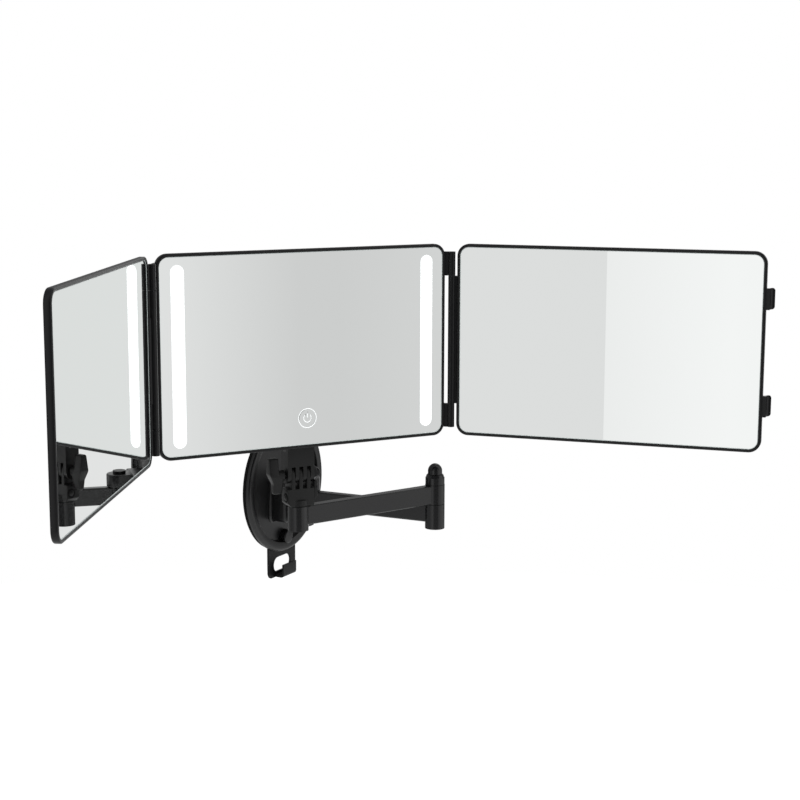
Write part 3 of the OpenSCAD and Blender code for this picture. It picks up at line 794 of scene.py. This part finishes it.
@dataclass
class WallBase:
    """Cast base with its two caps, and the wall plate behind it.

    The casting is a dished disc with a raised band, a hub block on a fillet and two fork lugs.
    The outline is seen from the front, and depths and faces are distances from the wall.
    """

    radius: float = 60.8
    edge: float = 2.6
    pad: float = 2.5
    seat_in: float = 4.0
    seat_step: float = 0.8
    face: float = 8.0
    band_in: float = 53.4
    band_lip: Pair = (0.8, 0.4)
    band_foot: Pair = (1.7, 0.5)
    band_slope: float = 2.2
    dish: float = 3.4
    dish_rise: float = 4.2
    hub_width: float = 45.0
    hub_low: float = -30.5
    hub_high: float = 9.0
    hub_foot: float = 0.8
    hub_sunk: float = 3.0
    hub_out: float = 19.5
    hub_corner: float = 5.0
    hub_edge: float = 1.4
    fillet: float = 2.0
    pivot_out: float = 29.0
    lug_radius: float = 11.5
    lug_root: float = 1.5
    lug_gap: Pair = (-19.5, -2.7)
    lug_edge: float = 0.9
    cap_radius: float = 6.4
    cap_face: float = 9.8
    cap_edge: float = 1.6
    screw_z: float = 48.0
    steel: float = 1.6
    steel_edge: float = 0.35
    tab_width: float = 45.0
    tab_down: float = 84.5
    tab_corner: float = 6.0
    plate_top: float = 52.0
    oval: Pair = (26.8, 13.2)
    oval_z: float = -73.4
    hook_width: float = 21.0
    hook_out: float = 10.0
    hook_up: float = 12.0
    hook_root: float = 5.0
    hook_bend: float = 2.0

    def disc_profile(self) -> np.ndarray:
        """Radius and height over the wall, from the pad's seat round the edge to the middle.

        Inside the band the face is a parabola: dish + dish_rise * (1 - radius / inner) squared.

        Returns:
            Points (k, 2).
        """
        inner, seat = self.band_in - self.band_slope, self.pad + self.seat_step
        r = np.linspace(inner, 0.05, 14)
        return np.concatenate([
            [(self.radius - self.seat_in, self.pad), (self.radius - self.seat_in, seat),
             (self.radius - self.seat_step, seat), (self.radius, seat + self.seat_step)],
            arc((self.radius - self.edge, self.face - self.edge), self.edge, 0, 90, 8),
            [(self.band_in, self.face),
             (self.band_in - self.band_lip[0], self.face - self.band_lip[1]),
             (self.band_in - self.band_foot[0], self.dish + self.band_foot[1])],
            np.stack([r, self.dish + self.dish_rise * (1 - r / inner) ** 2], -1),
        ])

    def hub_rings(self) -> np.ndarray:
        """Hub block, wider by a quarter-round fillet where it meets the dish.

        Returns:
            Rings (k, n, 3).
        """
        foot, edge = self.dish + self.hub_foot, self.hub_edge
        drop = np.linspace(0, 1, 9)
        grown = self.fillet * (1 - np.sqrt(1 - (1 - drop) ** 2))
        a = np.linspace(0, math.pi / 2, 6)
        heights = np.concatenate([
            [foot - self.hub_sunk], foot + self.fillet * drop,
            self.hub_out - edge + edge * np.sin(a)])
        grows = np.concatenate([[self.fillet], grown, -edge * (1 - np.cos(a))])
        outline, normals = rounded_outline(
            self.hub_width, self.hub_high - self.hub_low, self.hub_corner, 8,
            (self.hub_high + self.hub_low) / 2)
        return stacked(outline[None] + grows[:, None, None] * normals[None], heights, "off_wall")

    def casting(self) -> Skin:
        """Disc, hub block and fork lugs."""
        r, near = self.lug_radius, self.lug_root - self.hub_out
        far = -self.pivot_out - r
        lug = rounded_polygon(
            [(-r, far), (r, far), (r, near), (-r, near)], [r - 0.01, r - 0.01, 1.0, 1.0], 12)
        skin = Skin("smooth_base_casting").add(WALL, turned(self.disc_profile(), "off_wall", 128))
        skin.add(WALL, self.hub_rings())
        for low, high in ((self.hub_low, self.lug_gap[0]), (self.lug_gap[1], self.hub_high)):
            skin.add(WALL, pressed(lug, low, high, self.lug_edge))
        return skin

    def caps(self) -> Skin:
        """Domed caps over the wall screws."""
        skin, shoulder = Skin("domed_screw_caps"), self.cap_face - self.cap_edge
        profile = np.concatenate([
            [(self.cap_radius, self.dish - 0.5), (self.cap_radius, shoulder)],
            arc((self.cap_radius - self.cap_edge, shoulder), self.cap_edge, 10, 90, 5),
            [(0.05, self.cap_face)]])
        for z in (-self.screw_z, self.screw_z):
            skin.add(WALL.moved(0, 0, z), turned(profile, "off_wall", 40))
        return skin

    def plate(self) -> Skin:
        """Steel plate with an oval hole, its foot bent forward and up into a hook."""
        skin, t, e = Skin("bent_wall_plate"), self.steel, self.steel_edge
        outline, out_n = rounded_outline(
            self.tab_width, self.plate_top + self.tab_down, self.tab_corner,
            middle=(self.plate_top - self.tab_down) / 2)
        hole, hole_n = rounded_outline(
            self.oval[0], self.oval[1], self.oval[1] / 2 - 0.01, middle=self.oval_z)
        rim = np.array([(e, 0.0), (0.0, -e), (0.0, e - t), (e, -t)])
        bore = rim[::-1] * np.array([-1.0, 1.0])
        skin.add(WALL, np.concatenate([
            carry_round(outline, out_n, rim), carry_round(hole, hole_n, bore)]), wrap=True)
        low, out, bend = -self.tab_down, self.hook_out - t / 2, self.hook_bend
        bend_z = low + t / 2 + bend
        path = np.concatenate([
            [(t / 2, low + self.hook_root)], arc((t / 2 + bend, bend_z), bend, 180, 270),
            arc((out - bend, bend_z), bend, 270, 360), [(out, low + self.hook_up)]])
        along = np.gradient(path, axis=0)
        along /= np.linalg.norm(along, axis=1, keepdims=True)
        side = np.stack([along[:, 1], -along[:, 0]], -1) * t / 2
        w = self.hook_width / 2
        return skin.add(WALL, np.array([
            [(w, -p[0], p[1]), (w, -q[0], q[1]), (-w, -q[0], q[1]), (-w, -p[0], p[1])]
            for p, q in zip(path + side, path - side)]))

    def build(self) -> list[Piece]:
        """Makes the casting, the caps and the plate.

        Returns:
            The pieces.
        """
        return [
            fitted(self.casting(), Palette.COATED_CASTING, "base", "base_casting"),
            fitted(self.caps(), Palette.COATED_CASTING, "base", "screw_caps"),
            fitted(self.plate(), Palette.BLACK_STEEL, "base", "wall_plate"),
        ]


@dataclass
class TiltHead:
    """Swivel block with its fingers and cheek, the two-winged knob and the domed nut.

    Heights are over the arm's level. The bolt runs along X, and places along it are given
    from the outer faces of the seven interleaved fingers.
    """

    head: Place
    tilt_z: float = 40.5
    finger_t: float = 3.25
    finger_gap: float = 0.12
    finger_r: float = 6.5
    finger_edge: float = 0.3
    slot_floor: float = 29.3
    block_edge: float = 0.6
    block_round: float = 0.65
    foot_z: float = 14.5
    foot_r: float = 8.5
    foot_h: float = 5.0
    foot_slant: float = 3.0
    cheek_t: float = 2.9
    cheek_top: float = 34.8
    cheek_sunk: float = 0.4
    cheek_slope: Pair = (4.0, 7.5)
    cap_at: Pair = (-2.2, 7.6)
    knob_len: float = 30.0
    knob_mid: float = 9.5
    knob_tips: Pair = (2.0, 2.6)
    knob_gap: float = 1.0
    knob_out: float = 13.5
    knob_t: float = 8.0
    knob_step: float = 3.6
    knob_edge: float = 1.3
    boss_r: float = 4.6
    boss_len: float = 10.0
    nut_across: float = 9.5
    nut_levels: tuple[float, ...] = (0.0, 0.4, 3.2, 3.8)
    nut_cut: Pair = (4.9, 4.7)
    dome_z: float = 4.0
    dome_in: float = 0.9
    dome_r: float = 3.4
    dome_tall: float = 1.08

    @property
    def half(self) -> float:
        """Half the width of the seven interleaved fingers."""
        return (7 * self.finger_t + 6 * self.finger_gap) / 2

    @property
    def tilt(self) -> Place:
        """Axes in the middle of the tilt bolt."""
        return self.head.moved(0, 0, self.tilt_z)

    def plates(self) -> list[tuple[list[Pair], list[float]]]:
        """Front views of the body, the cheek's root and the cheek.

        Returns:
            The corners and the corners' radii of each.
        """
        half, foot, floor, top = self.half, self.foot_z, self.slot_floor, self.cheek_top
        root, near = half - self.cheek_sunk, half + self.finger_gap
        out, soft = near + self.cheek_t, self.block_round
        return [
            ([(-self.foot_r, foot), (half, foot), (half, floor), (-half, floor),
              (-half, foot + self.foot_slant)], [0.7, 1.0, 0.7, 0.7, 1.0]),
            ([(root, foot + self.cheek_slope[0]), (out, foot + self.cheek_slope[1]),
              (out, top - 3.0), (root, floor)], [soft, 0.8, soft, soft]),
            ([(near, floor - 1), (out, floor - 1), (out, top), (near, top)],
             [soft, soft, 0.8, soft]),
        ]

    def block(self) -> Skin:
        """Swivel block: a body that narrows to the round foot, three fingers and the cheek."""
        skin, deep = Skin("moulded_swivel_block"), self.finger_r
        for corners, radii in self.plates():
            view = rounded_polygon(corners, radii)
            skin.add(self.head, pressed(view, -deep, deep, self.block_edge, "off_wall"))
        skin.add(self.head, turned(np.array([
            (self.foot_r - 0.4, self.foot_z), (self.foot_r, self.foot_z + 0.4),
            (self.foot_r, self.foot_z + self.foot_h)])))
        low = self.tilt_z - self.slot_floor + 0.5
        finger = rounded_polygon(
            [(low, -deep), (low, deep), (-deep, deep), (-deep, -deep)],
            [0.4, 0.4, deep - 0.01, deep - 0.01], 10)
        for layer in (1, 3, 5):
            x = -self.half + layer * (self.finger_t + self.finger_gap)
            skin.add(self.tilt, pressed(finger, x, x + self.finger_t, self.finger_edge, "right"))
        return skin

    def side_cap(self) -> list[Piece]:
        """Makes the dark disc in the block's left side, painted shade of the well round the button,
        and the round head sunk in it.

        Returns:
            Both pieces.
        """
        seat = self.head.moved(-self.half, self.cap_at[0], self.foot_z + self.cap_at[1])
        made = []
        for name, finish, profile in (
            # A flat disc, darker than the block, painted as the shade of the well round the button
            ("side_well_shade_disc", Palette.RUBBER, [(3.9, -0.08), (4.1, 0.0), (4.1, 0.4)]),
            ("side_button", Palette.DARK_PLASTIC,
             [(0.5, -1.1), (1.6, -0.9), (2.3, -0.3), (2.4, 0.3)]),
        ):
            skin = Skin(name).add(seat, turned(np.array(profile), "right", 32))
            made.append(fitted(skin, finish, "swivel"))
        return made

    def knob(self) -> Skin:
        """Knob: a lozenge seen along the bolt, its lower wing set nearer the block.

        Each ring is a rounded rectangle at one height, from the outer to the inner face.
        """
        seat, end, edge = -self.half - self.knob_gap, self.knob_len / 2, self.knob_edge
        face, step = seat - self.knob_out, self.knob_step
        t = np.linspace(0, math.pi / 2, 5)
        ends, cuts = edge * (1 - np.cos(t)), edge * (1 - np.sin(t))
        z = np.concatenate([-end + ends, np.linspace(-end + 2, end - 2, 26), (end - ends)[::-1]])
        inset = np.concatenate([cuts, np.zeros(26), cuts[::-1]])
        outer = np.interp(z, [-6.5, 1.5], [face + step, face])
        inner = np.interp(z, [-1.5, 1.5], [face + self.knob_t + step, face + self.knob_t])
        low_tip, high_tip = self.knob_tips
        half_w = np.interp(z, [-end, 0, end], [low_tip, self.knob_mid / 2, high_tip])
        flats = []
        for x0, x1, w, cut in zip(outer, inner, half_w, inset):
            corner = min(0.9, w - cut - 0.05)
            ring, _ = rounded_outline(x1 - x0 - 2 * cut, 2 * (w - cut), corner, 4)
            flats.append(ring + np.array([(x0 + x1) / 2, 0.0]))
        boss = np.array([
            (self.boss_r, seat - self.boss_len), (self.boss_r, seat - 0.4),
            (self.boss_r - 0.4, seat)])
        skin = Skin("two_winged_knob").add(self.tilt, stacked(np.array(flats), z, "up"))
        return skin.add(self.tilt, turned(boss, "right", 48))

    def nut(self) -> Skin:
        """Domed nut: a hexagon whose corners are turned off, then a dome.

        The hexagon's radius is across / 2 / cos(a - 30 degrees) within each sixth of a turn.
        """
        steps, seat = 60, self.half + 0.05
        a = np.linspace(0, 2 * math.pi, steps, endpoint=False)
        hexagon = self.nut_across / 2 / np.cos((a % (math.pi / 3)) - math.pi / 6)
        dome = arc((self.dome_in, 0.0), self.dome_r, 0, 88, 7)
        first, last = (np.minimum(hexagon, cut) for cut in self.nut_cut)
        radii = np.concatenate([[first, hexagon, hexagon, last], np.repeat(dome[:, :1], steps, 1)])
        heights = np.concatenate([self.nut_levels, self.dome_z + dome[:, 1] * self.dome_tall])
        circle = np.stack([np.cos(a), np.sin(a)], -1)
        return Skin("domed_nut").add(
            self.tilt, stacked(radii[:, :, None] * circle[None], seat + heights, "right"))

    def build(self) -> list[Piece]:
        """Makes the head's pieces.

        Returns:
            The pieces.
        """
        return [
            fitted(self.block(), Palette.DARK_PLASTIC, "swivel", "swivel_block"),
            *self.side_cap(),
            fitted(self.knob(), Palette.FILLED_NYLON, "tilt_clamp", "wing_knob"),
            fitted(self.nut(), Palette.BLACK_STEEL, "mirror", "tilt_nut"),
        ]


@dataclass
class ElbowClamp:
    """Collar and bullet-shaped knob over the elbow."""

    elbow: Place
    base_z: float = 14.2
    collar_h: float = 8.8
    collar_r: float = 8.3
    knob_r: float = 6.2
    knob_h: float = 9.5
    knob_straight: float = 3.0

    def collar(self) -> Skin:
        """Collar with a small lower edge and a stepped upper one."""
        low, top, r = self.base_z, self.base_z + self.collar_h, self.collar_r
        return Skin("turned_collar").add(self.elbow, turned(np.array([
            (r - 0.3, low), (r, low + 0.3), (r, top - 2.6), (r - 0.5, top - 2.0),
            (r - 0.9, top - 0.6), (r - 1.4, top)])))

    def knob(self) -> Skin:
        """Knob: a short cylinder under half an ellipsoid."""
        top, r, straight = self.base_z + self.collar_h, self.knob_r, self.knob_straight
        a = np.radians(np.linspace(0, 89, 12))
        dome = np.stack([r * np.cos(a), top + straight + (self.knob_h - straight) * np.sin(a)], -1)
        return Skin("bullet_knob").add(
            self.elbow, turned(np.concatenate([[(r - 0.4, top), (r, top + 0.4)], dome])))

    def build(self) -> list[Piece]:
        """Makes both pieces.

        Returns:
            The pieces.
        """
        return [
            fitted(self.collar(), Palette.COATED_ARM, "front_link", "elbow_collar"),
            fitted(self.knob(), Palette.COATED_ARM, "elbow_clamp", "elbow_knob"),
        ]


@dataclass
class LightStrips:
    """Two opal strips with round ends, brighter in the middle than along the edge."""

    centre: Place
    width: float = 11.0
    length: float = 141.5
    side: float = 107.8
    core_width: float = 9.4
    thick: float = 1.2
    proud: float = 0.03
    step: float = 0.02
    bevel: float = 0.3

    def build(self) -> list[Piece]:
        """Makes the dimmer edges and the bright cores inside them.

        Returns:
            Both pieces.
        """
        edge, core = Skin("strip_edges"), Skin("strip_cores")
        thick, proud, step, bevel = self.thick, self.proud, self.step, self.bevel
        margin = (self.width - self.core_width) / 2
        whole, normals = rounded_outline(self.width, self.length, self.width / 2 - 0.01, 16)
        inner, inner_n = rounded_outline(
            self.core_width, self.length - 2 * margin, self.core_width / 2 - 0.01, 16)
        loop = np.array([(step, thick), (step, step - proud), (margin, -proud), (margin, thick)])
        plug = np.array([
            (bevel, thick), (0.0, thick - bevel), (0.0, -proud), (2 * bevel, -proud - step)])
        for x in (-self.side, self.side):
            place = self.centre.moved(x, 0, 0)
            edge.add(place, carry_round(whole, normals, loop), wrap=True)
            core.add(place, carry_round(inner, inner_n, plug))
        return [
            fitted(edge, Palette.DIFFUSER_EDGE, "mirror"),
            fitted(core, Palette.DIFFUSER, "mirror", "light_strips"),
        ]


@dataclass
class TouchKey:
    """Fine print on the centre glass: a ring with a power sign inside."""

    centre: Place
    drop: float = 55.5
    ring_r: float = 7.7
    sign_r: float = 3.3
    sign_arc: Pair = (132, 408)
    bar: Pair = (0.3, 4.0)
    line: float = 0.6
    thick: float = 0.03

    def band(self, radius: float, start: float, end: float, steps: int) -> np.ndarray:
        """Rings of a flat line that runs along a circle.

        Args:
            radius: the circle's radius.
            start: first angle, in degrees.
            end: last angle, in degrees.
            steps: how many rings.

        Returns:
            Rings (steps, 4, 3).
        """
        a = np.radians(np.linspace(start, end, steps))[:, None]
        wide = radius + self.line / 2 * np.array([1, -1, -1, 1])
        deep = np.array([0.0, 0.0, -self.thick, -self.thick])
        return np.stack([wide * np.cos(a), np.broadcast_to(deep, (steps, 4)), wide * np.sin(a)], -1)

    def build(self) -> list[Piece]:
        """Makes the print in place of the plain one.

        Returns:
            The piece, in a list.
        """
        place, w, steps = self.centre.moved(0, 0, -self.drop), self.line / 2, 96
        ring = self.band(self.ring_r, 0, 360 - 360 / steps, steps)
        skin = Skin("touch_print").add(place, ring, wrap=True)
        skin.add(place, self.band(self.sign_r, *self.sign_arc, 40))
        low, high = self.bar
        bar = rounded_polygon([(-w, low), (w, low), (w, high), (-w, high)], [0.05] * 4, 2)
        skin.add(place, pressed(bar, 0.0, self.thick, 0.005, "off_wall", 1))
        return [fitted(skin, Palette.KEY_PRINT, "mirror", "touch_key")]


# ---- Studio ----


# What stands round the room: bearing in degrees about Z, and brightness. The bright cards are
# what the three glasses reflect, and the gaps between them give the arm its dark flanks
ROOM_CARDS = (
    (-180, 0.95), (-176, 1.03), (-172, 1.0), (-166, 0.12), (-150, 0.1), (-112, 0.1),
    (-107, 0.82), (-103, 0.85), (-98, 0.68), (-93, 0.74), (-86, 0.9), (-74, 0.9), (-44, 0.9),
    (-36, 0.3), (-30, 0.22), (-9, 0.25), (-3, 0.84), (22, 0.84), (28, 0.3), (140, 0.3),
    (160, 0.5), (170, 0.82), (175, 0.82),
)


@dataclass
class Studio:
    """Camera, soft lamps, floor and surroundings.

    The camera stands where the photograph's camera stood, found from the corners of the
    three equal panels.
    """

    camera_at: tuple[float, float, float] = (-1.254665, -0.818600, 0.325506)
    yaw: float = -61.0242
    pitch: float = 9.4584
    roll: float = 0.1295
    lens: float = 76.0683
    floor_z: float = -0.95
    floor_radius: float = 3.2

    def camera(self) -> None:
        """Adds the camera: it looks along yaw about Z, pitched down, rolled a little."""
        data = bpy.data.cameras.new("camera")
        data.lens = self.lens
        data.sensor_width = 36.0
        data.sensor_fit = "HORIZONTAL"
        data.clip_start, data.clip_end = 0.05, 50.0
        data.dof.use_dof = False
        y, p, r = (math.radians(v) for v in (self.yaw, self.pitch, self.roll))
        forward = np.array([-math.sin(y) * math.cos(p), math.cos(y) * math.cos(p), -math.sin(p)])
        level = np.array([math.cos(y), math.sin(y), 0.0])
        above = np.cross(level, forward)
        right = level * math.cos(r) + above * math.sin(r)
        up = above * math.cos(r) - level * math.sin(r)
        camera = bpy.data.objects.new("camera", data)
        rows = np.eye(4)
        rows[:3, 0], rows[:3, 1], rows[:3, 2], rows[:3, 3] = right, up, -forward, self.camera_at
        camera.matrix_world = Matrix(rows.tolist())
        bpy.context.scene.collection.objects.link(camera)
        bpy.context.scene.camera = camera

    def lamp(self, name: str, at: tuple, aim: tuple, size: float, power: float) -> None:
        """Adds one soft square lamp.

        Args:
            name: the lamp's name.
            at: where it stands, in metres.
            aim: where it points.
            size: side of the square.
            power: watts.
        """
        data = bpy.data.lights.new(name, "AREA")
        data.size = size
        data.energy = power
        lamp = bpy.data.objects.new(name, data)
        lamp.location = at
        lamp.rotation_euler = (Vector(aim) - Vector(at)).to_track_quat("-Z", "Y").to_euler()
        lamp.visible_glossy = False
        bpy.context.scene.collection.objects.link(lamp)

    def floor(self) -> None:
        """Adds the pale floor, far below the object, with its shadow kept."""
        a = np.linspace(0, 2 * math.pi, 97)[:-1]
        ring = np.stack([
            self.floor_radius * np.cos(a), self.floor_radius * np.sin(a),
            np.full_like(a, self.floor_z)], -1)
        mesh = bpy.data.meshes.new("floor")
        mesh.from_pydata(ring.tolist(), [], [list(range(len(a)))])
        material = bpy.data.materials.new("pale_floor")
        tree = emptied(material)
        path = add_node(tree, "LightPath")
        seen = add_node(tree, "Math", {
            0: path.outputs["Is Camera Ray"], 1: path.outputs["Is Transmission Ray"]},
            operation="ADD", use_clamp=True)
        lift = add_node(tree, "Math", {0: seen.outputs[0], 1: 0.45}, operation="MULTIPLY")
        cover = add_node(tree, "BsdfDiffuse", {"Color": linear("#f6f6f5")})
        glow = add_node(tree, "Emission", {
            "Color": linear("#ffffff"), "Strength": lift.outputs[0]})
        both = add_node(tree, "AddShader", {0: cover.outputs[0], 1: glow.outputs[0]})
        add_node(tree, "OutputMaterial", {"Surface": both.outputs[0]})
        mesh.materials.append(material)
        floor = bpy.data.objects.new("floor", mesh)
        bpy.context.scene.collection.objects.link(floor)

    def surroundings(self) -> None:
        """White background, and round the room the graded cards that the glass reflects."""
        world = bpy.data.worlds.new("studio")
        tree = emptied(world)
        toward = add_node(tree, "TexCoord").outputs["Generated"]
        split = add_node(tree, "SeparateXYZ", {0: toward})
        bearing = add_node(tree, "Math", {
            0: split.outputs["Y"], 1: split.outputs["X"]}, operation="ARCTAN2")
        turn = add_node(tree, "MapRange", {
            "Value": bearing.outputs[0], "From Min": -math.pi, "From Max": math.pi})
        cards = add_node(tree, "ValToRGB", {0: turn.outputs["Result"]})
        set_ramp(cards, [
            ((angle + 180.0) / 360.0, (level, level, level, 1.0)) for angle, level in ROOM_CARDS])
        path = add_node(tree, "LightPath")
        mirrored = add_node(tree, "Math", {
            0: path.outputs["Is Glossy Ray"], 1: path.outputs["Is Transmission Ray"]},
            operation="ADD", use_clamp=True)
        room = add_node(tree, "Mix", {
            0: mirrored.outputs[0], 6: linear("#d9dadb"), 7: cards.outputs["Color"]},
            data_type="RGBA")
        shown = add_node(tree, "Mix", {
            0: path.outputs["Is Camera Ray"], 6: room.outputs[2], 7: linear("#ffffff")},
            data_type="RGBA")
        back = add_node(tree, "Background", {"Color": shown.outputs[2], "Strength": 1.0})
        add_node(tree, "OutputWorld", {"Surface": back.outputs[0]})
        bpy.context.scene.world = world

    def build(self) -> None:
        """Sets up everything that isn't the object."""
        bpy.context.scene.view_settings.view_transform = "Standard"
        self.camera()
        self.floor()
        self.surroundings()
        self.lamp("key_lamp", (-1.6, -1.6, 1.5), (-0.1, -0.1, 0.0), 1.2, 18)
        self.lamp("top_lamp", (-0.1, -0.4, 1.7), (-0.1, -0.1, 0.0), 1.2, 12)


# ---- Assembly ----


# Nodes of the frame whose shape is right and that only need their finish
PLAIN = {
    Palette.RUBBER: ("rubber_pad",),
    Palette.BLACK_STEEL: (
        "base_bolt", "base_nut", "elbow_bolt", "swivel_bolt", "tilt_bolt", "bracket_screws",
        "housing_screws"),
    Palette.COATED_ARM: ("rear_arm", "front_arm"),
    Palette.FILLED_NYLON: ("elbow_washer", "front_washer", "finger_bracket"),
    Palette.HOUSING_ABS: ("power_housing",),
    Palette.CELL_WRAP: ("battery",),
    Palette.GREEN_BOARD: ("control_board", "touch_board"),
    Palette.NICKEL: ("charge_port",),
    Palette.WHITE_BOARD: ("light_boards",),
    Palette.FRAME_ABS: (
        "right_end_knuckles", "right_wing_knuckle", "left_end_knuckles", "left_wing_knuckle",
        "latch_clips"),
    Palette.BRIGHT_STEEL: ("right_hinge_pin", "left_hinge_pin"),
}


def main() -> None:
    """Builds the studio and the sub-assemblies, and reports each piece."""
    logging.basicConfig(level=logging.INFO, format="%(message)s")
    Studio().build()
    arm = ArmGeometry()
    groups = (
        MirrorPanel("centre", "mirror", arm.centre()),
        MirrorPanel("right", "right_wing", arm.right()),
        MirrorPanel("left", "left_wing", arm.left()),
        WallBase(), TiltHead(arm.head()), ElbowClamp(arm.elbow()),
        LightStrips(arm.centre()), TouchKey(arm.centre()),
    )
    for group in groups:
        for piece in group.build():
            LOG.info("made %s", piece.name)
    for finish, nodes in PLAIN.items():
        for node in nodes:
            dress(node, finish)
            LOG.info("dressed %s", node)


if __name__ == "__main__":
    main()
